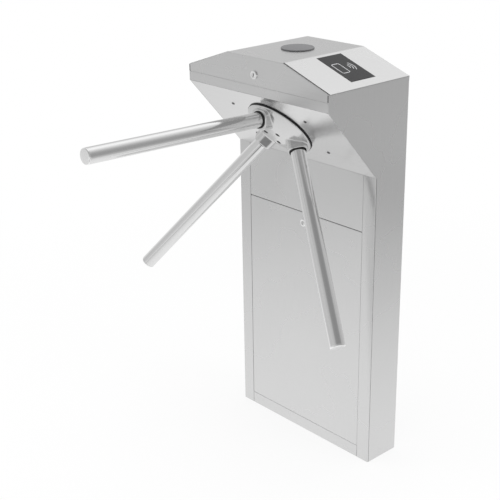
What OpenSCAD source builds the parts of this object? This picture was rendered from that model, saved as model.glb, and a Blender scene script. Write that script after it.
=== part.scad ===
// Tripod turnstile: an upright sheet-steel cabinet with a sloped rotor face and a hinged
// roof lid. Millimetres. +Z is up, +X runs along the cabinet and -Y points to the arms.
// The origin is on the floor, at the centre of the four anchor holes.

$fn = 96;

/* [Cabinet] */
// Length of the cabinet
cabinet_l = 444; // [430:1:470]
// Depth of the column that stands on the floor
column_d = 100; // [94:1:120]
// Depth of the head, from the back to the front band
head_d = 252; // [244:1:262]
// Height that the sloped face rises
slope_rise = 173; // [165:1:181]
// Height of the front band under the lid
band_h = 21.5; // [18:0.5:26]
// Height of the lid's sides, up to the eaves
lid_side_h = 16.5; // [13:0.5:20]
// Height that the roof rises from the eaves to its flat strip
roof_rise = 46; // [40:1:56]
// Width of the flat roof strip
roof_flat_w = 176; // [150:1:190]
// Thickness of the cabinet's sheet
sheet_t = 1.5; // [1:0.1:2]
// Thickness of the sloped rotor plate
rotor_plate_t = 2; // [1.5:0.1:3]

/* [Door and panels] */
// Width of the front door
door_w = 371; // [340:1:380]
// Height of the kick strip's top edge
kick_h = 31; // [28:1:50]
// Height of the front door
door_h = 557; // [530:1:570]
// Height of the fixed panel between the door and the sloped face
upper_panel_h = 135; // [125:1:145]
// Depth of the door's folded flanges
door_flange_d = 12; // [8:1:16]
// Width of the door's two bottom tabs
door_tab_w = 40; // [20:1:70]

/* [Floor fixing] */
// Thickness of the floor plate
floor_plate_t = 12; // [8:1:20]
// Spacing of the anchor holes along the cabinet
anchor_l = 330; // [280:1:350]
// Spacing of the anchor holes across the cabinet
anchor_w = 56; // [40:1:64]
// Diameter of the anchor holes
anchor_d = 14; // [10:0.5:18]
// Diameter of the cable opening in the floor plate
cable_opening_d = 60; // [40:1:70]

/* [Rotor] */
// Gap between the rotor's base ring and the sloped plate
rotor_gap = 1.5; // [1:0.1:3]
// Diameter of the rotor's base ring
hub_d = 168; // [160:1:190]
// Height of the hub's flat centre above the sloped plate
hub_top_h = 25; // [23:0.5:28]
// Diameter of the hub's flat centre
hub_flat_d = 60; // [56:1:64]
// Diameter of the three lobes that hold the arms
lobe_d = 46; // [44:0.5:50]
// Circle of the three hub screws
hub_screw_circle_d = 44; // [40:1:46]

/* [Arms] */
// Outer diameter of an arm
arm_d = 34; // [30:0.5:36]
// Wall of an arm's tube
arm_wall = 2; // [1.5:0.1:3]
// Distance from the arms' meeting point to an arm's tip
arm_reach = 553; // [500:1:600]
// Angle between an arm and the rotor's axis
arm_cone = 43; // [42:0.1:44]
// Depth of the arms' meeting point behind the sloped plate
arm_apex_depth = 42; // [40:0.5:44]
// Distance from the meeting point to the socket's mouth
socket_mouth = 98; // [95:0.5:104]
// Depth of the arm's socket
socket_depth = 18; // [14:0.5:20]

/* [Shaft and bearings] */
// Diameter of the shaft's bearing journal
journal_d = 25; // [25:1:27]
// Diameter of the shaft's rear part
shaft_d = 20; // [16:0.5:22]
// Outer diameter of the ball bearings
bearing_d = 52; // [52:1:56]
// Width of a ball bearing
bearing_w = 15; // [14:0.5:16]
// Number of balls in a bearing
ball_count = 8; // [6:1:9]
// Distance between the bearings' inner faces
bearing_gap = 24; // [20:1:26]
// Diameter of the shaft's front flange
shaft_flange_d = 60; // [56:1:62]
// Diameter of the opening in the sloped plate
plate_opening_d = 66; // [64:1:68]

/* [Locking] */
// Outer diameter of the locking wheel
wheel_d = 82; // [76:1:84]
// Number of notches in the locking wheel
notch_count = 12; // [6:6:12]
// Width of a notch
notch_w = 10.4; // [9:0.1:12]
// Depth of a notch
notch_depth = 7; // [6.8:0.1:8]
// Sideways place of a pawl's pin
pawl_pin_u = 52; // [51:0.5:54]
// Place of a pawl's pin below the rotor's axis
pawl_pin_v = 46; // [44:0.5:48]
// Distance from a pawl's pin to its plunger
pawl_lever = 24; // [23:0.5:26]
// Diameter of a pawl's pin
pawl_pin_d = 10; // [8:0.5:11]
// Diameter of a solenoid's plunger
plunger_d = 10; // [8:0.5:11]

/* [Damper and sensor] */
// Module of the damper's gears
gear_module = 2.5; // [2.4:0.05:2.55]
// Teeth of the drive gear
gear_teeth = 40; // [38:1:40]
// Teeth of the damper's pinion
pinion_teeth = 16; // [15:1:16]
// Direction of the damper round the rotor's axis, in degrees
damper_angle = 150; // [146:1:156]
// Diameter of the damper's body
damper_d = 48; // [40:1:50]
// Diameter of the encoder disc
encoder_d = 64; // [56:1:66]
// Slots in the encoder disc
encoder_slots = 24; // [12:1:36]

/* [Lid fittings] */
// Length of a reader window down the slope
window_l = 108; // [90:1:112]
// Width of a reader window along the eaves
window_w = 75; // [60:1:90]
// Distance from the ridge to a reader window
window_from_ridge = 9.3; // [8.5:0.1:14]
// Distance from the front band to the middle of a reader window
window_from_front = 129.6; // [110:0.1:150]
// Diameter of the indicator on the flat roof strip
indicator_d = 75; // [60:1:84]
// Height of the indicator above the roof
indicator_h = 3; // [1:0.1:6]
// Distance from the front band to the middle of the indicator
indicator_from_front = 131; // [110:1:150]
// Length of the lid's hinge
hinge_l = 420; // [340:1:424]
// Diameter of the hinge's knuckles
knuckle_d = 7; // [6:0.1:8]
// Diameter of the hinge's pin
hinge_pin_d = 3.5; // [2.5:0.1:4]

/* [Locks] */
// Diameter of a lock's face
lock_face_d = 18; // [16:0.5:22]
// Diameter of a lock's barrel
lock_barrel_d = 14; // [12:0.5:15]
// Diameter of a lock's turning plug
lock_plug_d = 9; // [7:0.5:10]
// Length of a lock's barrel behind the sheet
lock_barrel_l = 16; // [15:0.5:18]
// Height of the lid's lock above the lid's seam
lid_lock_rise = 24; // [23:0.5:26]
// Distance from the door's top edge down to its lock
door_lock_drop = 25.4; // [22:0.2:27]
// Length of a lock's cam from its axis
cam_l = 32; // [31:0.5:33]

/* [Electrics] */
// Length of the control board
board_l = 190; // [160:1:200]
// Height of the control board
board_h = 156; // [140:1:170]
// Length of the power supply
supply_l = 160; // [140:1:180]
// Height of the power supply
supply_h = 98; // [80:1:110]
// Depth of the power supply
supply_d = 40; // [34:1:44]

/* [Clearances] */
// Width of the visible seams between sheets
seam = 1; // [0.8:0.1:1.5]
// Width of the seam at the foot of the sloped plate
slope_foot_seam = 0.3; // [0.2:0.1:1]
// Gap where a moving piece rests on another
seat_gap = 0.3; // [0.2:0.05:0.4]
// Radial gap of a running fit
run_gap = 0.05; // [0.03:0.01:0.08]
// Radial gap between a ball and the groove of its ring
ball_gap = 0.08; // [0.04:0.01:0.1]
// Gap at the edges of pieces that don't move on each other
edge_gap = 0.2; // [0.1:0.05:0.3]

/* [Hidden] */
// A cut reaches this far past the surface that it opens
cut_over = 1;

// Heights, from the floor up
door_top_h = kick_h + door_h;
slope_foot_h = door_top_h + upper_panel_h;
slope_top_h = slope_foot_h + slope_rise;
lid_seam_h = slope_top_h + band_h;
eaves_h = lid_seam_h + lid_side_h;
cabinet_h = eaves_h + roof_rise;

// Cabinet
half_l = cabinet_l / 2;
inner_half_l = half_l - sheet_t;
back_y = column_d / 2;
front_y = -column_d / 2;
head_y = back_y - head_d;
slope_run = front_y - head_y;
slope_l = sqrt(slope_rise * slope_rise + slope_run * slope_run);
slope_angle = atan2(slope_rise, slope_run);
rotor_y = (front_y + head_y) / 2;
rotor_z = (slope_foot_h + slope_top_h) / 2;
roof_flat_half = roof_flat_w / 2;
roof_angle = atan2(roof_rise, half_l - roof_flat_half);
roof_drop_t = sheet_t / cos(roof_angle);
side_top_z = eaves_h - roof_drop_t - seat_gap;
side_flange_w = 18;
band_flange_w = 18;
side_flange_l = slope_l - side_flange_w / 2 - band_flange_w - seam;
keeper_w = 20;
keeper_t = 1.5;
keeper_set_back = 4.5;
keeper_lip_d = 22;
keeper_lip_gap = 2.5;
keeper_from_mid = 16;

// Door and panels
door_half = door_w / 2;
door_foot_z = kick_h + seam / 2;
door_head_z = door_top_h - seam / 2;
wing_w = 12;
tab_from_mid = 110;
hook_gap = 0.6;
door_pin_r = 2.5;
door_pin_rise = 10;
door_pin_y = front_y + sheet_t + hook_gap + door_pin_r;
door_pin_z = floor_plate_t + door_pin_rise;
cradle_w = 24;
cradle_wall = 2;
panel_flange_d = 12;

// Floor fixing
post_w = 40;
post_d = 30;
post_wall = 3;
post_from_side = 8;
post_top_gap = 40;
grommet_flange = 5;
grommet_wall = 5;
grommet_t = 3;
stud_d = 6;
stud_nut_d = 11.5;
stud_nut_t = 5;
stud_l = 24;
stud_x = 70;
stud_y = 28;

// Hub
hub_r = hub_d / 2;
base_ring_t = 4.5;
base_ring_in_r = 55;
ring_ledge_w = 4;
hub_foot_r = hub_r - ring_ledge_w;
hub_foot_z = rotor_gap + base_ring_t;
hub_flat_r = hub_flat_d / 2;
dome_rise = hub_top_h - hub_foot_z;
dome_depth = (hub_foot_r * hub_foot_r - hub_flat_r * hub_flat_r - dome_rise * dome_rise) / (2 * dome_rise);
dome_r = sqrt(hub_foot_r * hub_foot_r + dome_depth * dome_depth);
lobe_r = lobe_d / 2;
lobe_start = 60;
spigot_d = 24;
spigot_h = 6.5;
hub_screw_d = 6;
hub_screw_head_d = 11;
hub_screw_head_t = 4.5;
screw_slot_w = 1.4;
screw_slot_depth = 1.6;
hub_screw_angles = [30, 150, 270];

// Arms
socket_floor = socket_mouth - socket_depth;
arm_r = arm_d / 2;
plug_r = arm_r - arm_wall - edge_gap / 4;
plug_l = 26;
arm_bolt_d = 8;
arm_bolt_head_d = 13;
arm_bolt_head_l = 8;
arm_bolt_l = 22;
arm_bolt_seat_t = 6;
bolt_seat = socket_floor - arm_bolt_seat_t;
arm_pocket_d = 15;
arm_pocket_start = 48;
arm_key_d = 6;
arm_key_depth = 4;
seal_t = 3.5;
seal_wall = 2.5;
cap_t = 4;
cap_edge = 2.5;
cap_plug_l = 12;

// Shaft, from the flange's front to the rear end, with z along the rotor's axis
journal_r = journal_d / 2;
shaft_r = shaft_d / 2;
bearing_r = bearing_d / 2;
shaft_flange_t = 6;
shaft_shoulder_l = 4.5;
flange_back_z = rotor_gap - shaft_flange_t;
bearing_a_z = flange_back_z - shaft_shoulder_l;
bearing_a_end = bearing_a_z - bearing_w;
bearing_b_z = bearing_a_end - bearing_gap;
bearing_b_end = bearing_b_z - bearing_w;
wheel_boss_l = 17;
gear_boss_l = 14;
encoder_boss_l = 12;
nut_l = 8;
shaft_tail = 3;
wheel_boss_end = bearing_b_end - wheel_boss_l;
gear_boss_end = wheel_boss_end - gear_boss_l;
encoder_boss_end = gear_boss_end - encoder_boss_l;
nut_end = encoder_boss_end - nut_l;
shaft_end = nut_end - shaft_tail;
boss_wall = 6;
boss_r = shaft_r + boss_wall;
nut_d = 30;

// Bearings
race_t = (bearing_r - journal_r) / 3;
race_pitch_r = (bearing_r + journal_r) / 2;
ball_share = 0.88;
ball_r = race_t * ball_share;
inner_race_r = race_pitch_r - race_t / 2;
outer_race_r = race_pitch_r + race_t / 2;

// Bearing housing
housing_wall = 6;
housing_r = bearing_r + housing_wall;
housing_recess = 1;
housing_lip = 1;
housing_flange_d = 88;
housing_flange_t = 8;
housing_step_w = 3;
housing_step_r = bearing_r - housing_step_w;
housing_bolt_circle_d = 76;
housing_bolt_d = 5;
housing_bolt_head_d = 9;
housing_bolt_head_t = 5;
housing_bolts = 4;

// Mechanism frame
frame_t = 8;
frame_half_w = 126;
frame_top_v = 80;
frame_foot_v = -88;
frame_back_z = -rotor_plate_t - frame_t;
frame_screw_u = 116;
frame_screw_v = 55.6;
frame_screw_d = 5;
frame_screw_head_d = 10;
frame_screw_head_t = 2.2;
frame_screw_l = 9;
cheek_u = 104;
cheek_t = 6;
cheek_depth = 90;
cheek_slant = 60;

// Locking wheel, seen along the axis
wheel_r = wheel_d / 2;
wheel_t = 8;
wheel_set_in = 3;
wheel_z = wheel_boss_end + wheel_set_in;
wheel_hole_d = 12;
wheel_hole_circle_r = 25;
wheel_holes = 6;

// Pawls: the tooth sits level with the axis and rests clear of the wheel
pawl_t = 6;
pawl_z = wheel_z + (wheel_t - pawl_t) / 2;
pawl_boss_r = 11;
pawl_arm_w = 12;
pawl_lever_w = 10;
pawl_rest_gap = 2;
pawl_tooth_w = 6.4;
pawl_tooth_v = 0.8;
pawl_arm_u = 14;
pawl_collar_d = 16;
pawl_clip_t = 1.6;
pawl_clip_d = 15;
pin_spigot_l = 7;

// Solenoids and their plungers
solenoid_u = 64;
solenoid_w = 26;
solenoid_front_t = 4;
coil_d = 23;
plunger_tongue_t = 3;
plunger_gap = 0.4;
plunger_start = 8;
plunger_in = 28;
plunger_stroke = 5;
cross_pin_d = 4;
lever_hole_d = 5.2;
lever_eye_r = 6;
plunger_v = -pawl_pin_v - pawl_lever;
plunger_z = pawl_z + pawl_t + plunger_gap + plunger_tongue_t / 2;

// Damper and its gears
gear_t = 8;
gear_set_in = 2;
gear_z = gear_boss_end + gear_set_in;
gear_backlash = 0.2;
gear_distance = gear_module * (gear_teeth + pinion_teeth) / 2 + gear_backlash;
tooth_tip_share = 0.11;
tooth_root_share = 0.27;
tooth_tip_rise_share = 1;
tooth_root_drop_share = 1.25;
gear_hole_d = 14;
gear_hole_circle_r = 31;
gear_holes = 6;
damper_set_back = 14;
pinion_shaft_d = 8;
pinion_shaft_in = 20;
pinion_collar_d = 14;
pinion_collar_l = 4;
damper_body_end = gear_z + gear_t + pinion_collar_l + damper_set_back;

// Encoder
encoder_disc_t = 1.5;
disc_set_in = 3;
encoder_disc_z = encoder_boss_end + disc_set_in;
encoder_slot_w = 2.4;
encoder_slot_l = 6;
encoder_rim = 3;
fork_gap = 2;
fork_arm_t = 4.5;
fork_w = 14;
fork_from_edge = 8;
fork_back = 6;
sensor_board_t = 1.6;
sensor_board_w = 26;
sensor_board_end = 96;
sensor_board_start = 22;
sensor_post_d = 9;
sensor_post_at = 87.5;
sensor_angle = 31;
sensor_screw_d = 3;
sensor_screw_head_d = 6;
sensor_screw_l = 9;

// Lid fittings
window_proud = 0.3;
window_edge = 4;
housing_rim = 8;
housing_depth = 14;
housing_floor = 2;
reader_board_t = 1.6;
reader_foot_h = 3;
reader_chip = 12;
reader_chip_t = 2;
reader_foot_shares = [0.1, 0.9];
reader_chip_shares = [0.3, 0.6];
indicator_chamfer = 0.9;
indicator_stem_wall = 7;
indicator_stem_l = 22;
indicator_nut_edge = 6;
indicator_nut_t = 8;
indicator_board_t = 1.6;
leaf_w = 14;
leaf_fixed_w = 30;
knuckle_r = knuckle_d / 2;
knuckle_count = 7;
knuckle_gap = 0.4;
hinge_y = back_y + knuckle_r + seat_gap;

// Locks
lock_bezel_t = 2;
lock_nut_d = 22;
lock_nut_t = 4;
cam_t = 2;
cam_w = 12;
cam_gap = 0.3;
cam_stub_d = 6;
cam_screw_d = 8;
cam_screw_t = 2;
keyway_w = 1.4;
keyway_l = 5.5;
keyway_depth = 3;

// Electrics
tray_z = 300;
tray_t = 1.5;
tray_margin = 15;
tray_stand = 8;
tray_foot_d = 12;
board_t = 1.6;
board_stand = 7;
spacer_d = 7;
supply_z = 130;
supply_slots = 9;
supply_slot_w = 3;
supply_slot_l = 60;
supply_slot_depth = 2;
terminal_w = 28.5;
terminal_h = 12;
terminal_d = 11;
terminal_shares = [-0.44, -0.26, -0.08, 0.1, 0.28];
relay_w = 27;
relay_h = 22;
relay_d = 16.5;
relay_shares = [-0.4, -0.2, 0];
relay_rise_share = 0.75;
chip_w = 30;
chip_rise_share = 0.35;

steel_white = [0.80, 0.80, 0.80];
steel_grey = [0.70, 0.70, 0.71];
chrome = [0.86, 0.87, 0.88];
cast_grey = [0.55, 0.56, 0.58];
zinc = [0.66, 0.67, 0.66];
bearing_steel = [0.76, 0.77, 0.79];
black_plastic = [0.09, 0.09, 0.10];
dark_glass = [0.22, 0.22, 0.23];
lens_grey = [0.52, 0.53, 0.54];
board_green = [0.10, 0.36, 0.20];
brass = [0.78, 0.64, 0.34];

// Shared helpers

// Places children on the sloped face: origin at the rotor's axis, +Z out of the plate, +Y up it
module at_rotor() {
    translate([0, rotor_y, rotor_z])
        rotate([180 - slope_angle, 0, 0])
            children();
}

// Places children along an arm: the origin where the arms meet, +Z towards the arm's tip
module at_arm(index) {
    at_rotor()
        translate([0, 0, -arm_apex_depth])
            rotate([0, 0, 120 * index])
                rotate([-arm_cone, 0, 0])
                    children();
}

// Places children on a roof slope: origin on the ridge at the front band, +X down the slope
module at_roof(side) {
    mirror([side < 0 ? 1 : 0, 0, 0])
        translate([roof_flat_half, head_y, cabinet_h])
            rotate([0, roof_angle, 0])
                children();
}

// Places children on a lock's axis: +Z points into the cabinet and -Y points up
module at_lock(y, z) {
    translate([0, y, z])
        rotate([-90, 0, 0])
            children();
}

module at_lid_lock() {
    at_lock(head_y, lid_seam_h + lid_lock_rise)
        children();
}

module at_door_lock() {
    at_lock(front_y, door_top_h - door_lock_drop)
        children();
}

// Extrudes an outline, drawn in Y and Z, along X
module along_x(from_x, length) {
    translate([from_x, 0, 0])
        rotate([90, 0, 90])
            linear_extrude(length)
                children();
}

// Extrudes an outline, drawn in X and Z, along Y
module along_y(from_y, length) {
    translate([0, from_y + length, 0])
        rotate([90, 0, 0])
            linear_extrude(length)
                children();
}

module block(from, size) {
    translate(from)
        cube(size);
}

// A block that is centred on X
module mid_block(half, y, depth, z, height) {
    block([-half, y, z], [2 * half, depth, height]);
}

// A cylinder between two places on its axis
module rod(r, z0, z1) {
    translate([0, 0, min(z0, z1)])
        cylinder(r = r, h = abs(z1 - z0));
}

module tube(r_out, r_in, z0, z1) {
    difference() {
        rod(r_out, z0, z1);
        rod(r_in, min(z0, z1) - cut_over, max(z0, z1) + cut_over);
    }
}

// A flat bar with round ends between two points
module bar(a, b, w) {
    length = norm(b - a);
    translate(a)
        rotate(atan2(b[1] - a[1], b[0] - a[0]))
            translate([0, -w / 2])
                square([length, w]);
    for (p = [a, b])
        translate(p)
            circle(d = w);
}

// Cabinet

// Outline of a side plate
module side_outline() {
    polygon([
        [back_y, 0], [back_y, side_top_z], [head_y, side_top_z],
        [head_y, slope_top_h], [front_y, slope_foot_h], [front_y, 0]
    ]);
}

module cabinet_shell() {
    return_x = door_half + seam;
    color(steel_white) {
        for (x = [-half_l, inner_half_l])
            along_x(x, sheet_t)
                side_outline();
        mid_block(half_l - sheet_t / 2, back_y - sheet_t, sheet_t, 0, lid_seam_h - seam / 2);
        for (side = [-1, 1])
            mirror([side < 0 ? 1 : 0, 0, 0]) {
                block([return_x, front_y, 0], [half_l - sheet_t / 2 - return_x, sheet_t, slope_foot_h]);
                at_rotor()
                    translate([inner_half_l - side_flange_w, (side_flange_w - slope_l) / 2, -rotor_plate_t])
                        block([0, 0, -sheet_t], [side_flange_w + sheet_t / 2, side_flange_l, sheet_t]);
            }
    }
}

module floor_plate() {
    color(zinc)
        difference() {
            mid_block(inner_half_l, front_y + sheet_t, column_d - 2 * sheet_t, 0, floor_plate_t);
            for (x = [-anchor_l / 2, anchor_l / 2], y = [-anchor_w / 2, anchor_w / 2])
                translate([x, y, 0])
                    rod(anchor_d / 2, -cut_over, floor_plate_t + cut_over);
            rod(cable_opening_d / 2, -cut_over, floor_plate_t + cut_over);
            translate([stud_x, stud_y, 0])
                rod(stud_d / 2, floor_plate_t / 2, floor_plate_t + cut_over);
        }
}

module frame_posts() {
    post_z = floor_plate_t;
    post_h = side_top_z - post_top_gap - post_z;
    post_x = inner_half_l - post_from_side - post_w;
    post_y = back_y - sheet_t - post_d;
    color(zinc)
        for (side = [-1, 1])
            mirror([side < 0 ? 1 : 0, 0, 0])
                difference() {
                    block([post_x, post_y, post_z], [post_w, post_d, post_h]);
                    block(
                        [post_x + post_wall, post_y - cut_over, post_z - cut_over],
                        [post_w - 2 * post_wall, post_d - post_wall + cut_over, post_h + 2 * cut_over]
                    );
                }
}

// Rods on the axis that the door's foot turns on, at its two pins
module at_door_pins(r, length) {
    for (x = [-tab_from_mid, tab_from_mid])
        translate([x - length / 2, door_pin_y, door_pin_z])
            rotate([0, 90, 0])
                cylinder(r = r, h = length);
}

// Kick strip with the two open cradles that hold the door's pins
module kick_strip() {
    top_z = kick_h - seam / 2;
    wing_h = top_z - floor_plate_t;
    cradle_d = sheet_t / 2 + hook_gap + 2 * door_pin_r + cradle_wall;
    color(steel_white)
        difference() {
            union() {
                mid_block(door_half, front_y, sheet_t, 0, top_z);
                for (side = [-1, 1])
                    mirror([side < 0 ? 1 : 0, 0, 0])
                        block(
                            [door_half - wing_w, front_y + sheet_t, floor_plate_t],
                            [2 * wing_w, sheet_t, wing_h]
                        );
                for (x = [-tab_from_mid, tab_from_mid])
                    block(
                        [x - cradle_w / 2, front_y + sheet_t / 2, floor_plate_t],
                        [cradle_w, cradle_d, door_pin_rise]
                    );
            }
            at_door_pins(door_pin_r + run_gap, cradle_w + 2 * cut_over);
        }
}

module upper_front_panel() {
    foot_z = door_top_h + seam / 2;
    color(steel_white) {
        mid_block(door_half, front_y, sheet_t, foot_z, slope_foot_h - slope_foot_seam / 2 - foot_z);
        mid_block(door_half - wing_w, front_y + sheet_t / 2, panel_flange_d, foot_z, sheet_t);
        for (side = [-1, 1])
            mirror([side < 0 ? 1 : 0, 0, 0])
                block(
                    [door_half - wing_w, front_y + sheet_t, foot_z],
                    [2 * wing_w, sheet_t, slope_foot_h - wing_w - foot_z]
                );
    }
}

// Front band above the sloped face, with the flange behind the plate and the lid's keeper
module head_band() {
    band_half = inner_half_l - edge_gap;
    top_z = lid_seam_h - seam / 2;
    keeper_y = head_y + keeper_set_back;
    keeper_z = slope_top_h + keeper_t;
    lip_z = lid_seam_h + lid_lock_rise + cam_w / 2 + keeper_lip_gap;
    color(steel_white) {
        mid_block(band_half, head_y, sheet_t, slope_top_h, top_z - slope_top_h);
        at_rotor()
            mid_block(
                band_half, slope_l / 2 - band_flange_w, band_flange_w + sheet_t,
                -rotor_plate_t - sheet_t, sheet_t
            );
        translate([-keeper_from_mid - keeper_w, 0, 0]) {
            block([0, head_y + sheet_t / 2, keeper_z], [keeper_w, keeper_set_back, top_z - keeper_z]);
            block([0, keeper_y, keeper_z], [keeper_w, keeper_t, lip_z + keeper_t - keeper_z]);
            block([0, keeper_y, lip_z], [keeper_w, keeper_lip_d, keeper_t]);
        }
    }
}

module rotor_plate() {
    plate_half = inner_half_l - seat_gap;
    plate_l = slope_l - (seam + slope_foot_seam) / 2;
    plate_foot = (slope_foot_seam - slope_l) / 2;
    color(steel_white)
        difference() {
            at_rotor()
                difference() {
                    mid_block(plate_half, plate_foot, plate_l, -rotor_plate_t, rotor_plate_t);
                    rod(plate_opening_d / 2, -rotor_plate_t - cut_over, cut_over);
                    at_frame_screws()
                        rod(frame_screw_d / 2 + edge_gap, -rotor_plate_t - cut_over, cut_over);
                }
            mid_block(half_l, head_y - cut_over, head_d, slope_top_h - seam / 2, band_h);
        }
}

// Repeats children at the four screws that hold the mechanism's frame
module at_frame_screws() {
    for (u = [-frame_screw_u, frame_screw_u], v = [-frame_screw_v, frame_screw_v])
        translate([u, v, 0])
            children();
}

module frame_screws() {
    dome_d = frame_screw_head_d;
    color(chrome)
        at_rotor()
            at_frame_screws() {
                rod(frame_screw_d / 2, -frame_screw_l, 0);
                difference() {
                    cylinder(d1 = dome_d, d2 = dome_d - frame_screw_head_t, h = frame_screw_head_t);
                    block(
                        [-dome_d / 2, -screw_slot_w / 2, frame_screw_head_t / 2],
                        [dome_d, screw_slot_w, frame_screw_head_t]
                    );
                }
            }
}

// Mechanism frame: a front plate behind the sloped plate, two cheeks and the sensor's post

// Outline of a cheek, up the slope and along the rotor's axis
module cheek_outline() {
    root_z = frame_back_z + frame_t / 2;
    end_z = frame_back_z - cheek_depth;
    polygon([
        [frame_foot_v, root_z], [frame_top_v, root_z], [frame_top_v, frame_back_z - frame_t],
        [frame_top_v - cheek_slant, end_z], [frame_foot_v, end_z]
    ]);
}

module mechanism_frame() {
    board_foot = sensor_board_z() + sensor_board_t;
    color(zinc)
        at_rotor()
            difference() {
                union() {
                    mid_block(frame_half_w, frame_foot_v, frame_top_v - frame_foot_v, frame_back_z, frame_t);
                    for (u = [-cheek_u - cheek_t, cheek_u])
                        along_x(u, cheek_t)
                            cheek_outline();
                    at_sensor()
                        translate([sensor_post_at, 0, 0])
                            rod(sensor_post_d / 2, frame_back_z + frame_t / 2, board_foot);
                }
                rod(plate_opening_d / 2, frame_back_z - cut_over, 0);
                at_frame_screws()
                    rod(frame_screw_d / 2, -frame_screw_l - cut_over, 0);
                at_housing_bolts()
                    rod(housing_bolt_d / 2, frame_back_z - cut_over, -rotor_plate_t - sheet_t);
                for (side = [-1, 1])
                    at_pawl_pin(side)
                        rod(pawl_pin_d / 2, frame_back_z - cut_over, frame_back_z + pin_spigot_l);
                at_sensor()
                    translate([sensor_post_at, 0, 0])
                        rod(sensor_screw_d / 2, board_foot - cut_over, board_foot + sensor_screw_l);
            }
}

// Repeats children at the bolts that hold the bearing housing
module at_housing_bolts() {
    for (i = [0 : housing_bolts - 1])
        rotate(360 / housing_bolts * (i + 0.5))
            translate([housing_bolt_circle_d / 2, 0, 0])
                children();
}

module at_pawl_pin(side) {
    translate([side * pawl_pin_u, -pawl_pin_v, 0])
        children();
}

module at_sensor() {
    rotate(sensor_angle)
        children();
}

module bearing_housing() {
    front_z = bearing_a_z + housing_recess;
    end_z = bearing_b_end - housing_lip;
    flange_z = frame_back_z - housing_flange_t;
    color(cast_grey)
        at_rotor()
            difference() {
                union() {
                    rod(housing_r, end_z, front_z);
                    rod(housing_flange_d / 2, flange_z, frame_back_z);
                }
                rod(housing_step_r, end_z - cut_over, front_z + cut_over);
                rod(bearing_r, bearing_a_end, front_z + cut_over);
                rod(bearing_r, end_z - cut_over, bearing_b_z);
                at_housing_bolts()
                    rod(housing_bolt_d / 2 + edge_gap, flange_z - cut_over, frame_back_z + cut_over);
            }
}

module housing_bolts_set() {
    head_z = frame_back_z - housing_flange_t;
    color(bearing_steel)
        at_rotor()
            at_housing_bolts() {
                rod(housing_bolt_d / 2, head_z, frame_back_z + frame_t / 2);
                difference() {
                    rod(housing_bolt_head_d / 2, head_z - housing_bolt_head_t, head_z);
                    translate([0, 0, head_z - housing_bolt_head_t - cut_over])
                        cylinder(d = housing_bolt_d, h = housing_bolt_head_t / 2 + cut_over, $fn = 6);
                }
            }
}

// Bearings: two deep-groove ball bearings on the journal

// Groove of a ball bearing whose front face is at z
module race_groove(z) {
    translate([0, 0, z - bearing_w / 2])
        rotate_extrude()
            translate([race_pitch_r, 0])
                circle(r = ball_r + ball_gap);
}

module bearing_outer_rings() {
    color(bearing_steel)
        at_rotor()
            for (z = [bearing_a_z, bearing_b_z])
                difference() {
                    tube(bearing_r, outer_race_r, z - bearing_w, z);
                    race_groove(z);
                }
}

module bearing_inner_rings() {
    color(bearing_steel)
        at_rotor()
            for (z = [bearing_a_z, bearing_b_z])
                difference() {
                    tube(inner_race_r, journal_r, z - bearing_w, z);
                    race_groove(z);
                }
}

module bearing_balls() {
    color(chrome)
        at_rotor()
            for (z = [bearing_a_z, bearing_b_z], i = [0 : ball_count - 1])
                rotate(360 / ball_count * i)
                    translate([race_pitch_r, 0, z - bearing_w / 2])
                        sphere(r = ball_r);
}

module bearing_spacer() {
    color(zinc)
        at_rotor()
            tube(inner_race_r, journal_r, bearing_b_z, bearing_a_end);
}

// Shaft and what is clamped on it

module main_shaft() {
    color(bearing_steel)
        at_rotor()
            difference() {
                union() {
                    rod(spigot_d / 2, rotor_gap - sheet_t, rotor_gap + spigot_h);
                    rod(shaft_flange_d / 2, flange_back_z, rotor_gap);
                    rod(inner_race_r, bearing_a_z, flange_back_z + sheet_t);
                    rod(journal_r, bearing_b_end, bearing_a_z + sheet_t);
                    rod(shaft_r, shaft_end, bearing_b_end + sheet_t);
                }
                at_hub_screws()
                    rod(hub_screw_d / 2, flange_back_z - cut_over, rotor_gap + cut_over);
            }
}

// Repeats children at the three screws in the hub's flat centre
module at_hub_screws() {
    for (a = hub_screw_angles)
        rotate(a)
            translate([hub_screw_circle_d / 2, 0, 0])
                children();
}

module locking_wheel() {
    color(zinc)
        at_rotor()
            difference() {
                union() {
                    rod(wheel_r, wheel_z, wheel_z + wheel_t);
                    rod(boss_r, wheel_boss_end, bearing_b_end);
                }
                rod(shaft_r, wheel_boss_end - cut_over, bearing_b_end + cut_over);
                for (i = [0 : notch_count - 1])
                    rotate(360 / notch_count * i)
                        translate([wheel_r - notch_depth, -notch_w / 2, wheel_z - cut_over])
                            cube([wheel_r, notch_w, wheel_t + 2 * cut_over]);
                for (i = [0 : wheel_holes - 1])
                    rotate(360 / wheel_holes * (i + 0.5))
                        translate([wheel_hole_circle_r, 0, 0])
                            rod(wheel_hole_d / 2, wheel_z - cut_over, wheel_z + wheel_t + cut_over);
            }
}

// Outline of a gear with straight-sided teeth, one tooth centred on +X
function gear_outline(teeth) = [
    for (i = [0 : teeth - 1], p = [[-1, 0], [-1, 1], [1, 1], [1, 0]])
        let (
            share = p[1] > 0 ? tooth_tip_share : tooth_root_share,
            a = 360 / teeth * (i + p[0] * share),
            r = gear_module * (teeth / 2 + (p[1] > 0 ? tooth_tip_rise_share : -tooth_root_drop_share))
        )
            [r * cos(a), r * sin(a)]
];

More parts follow.
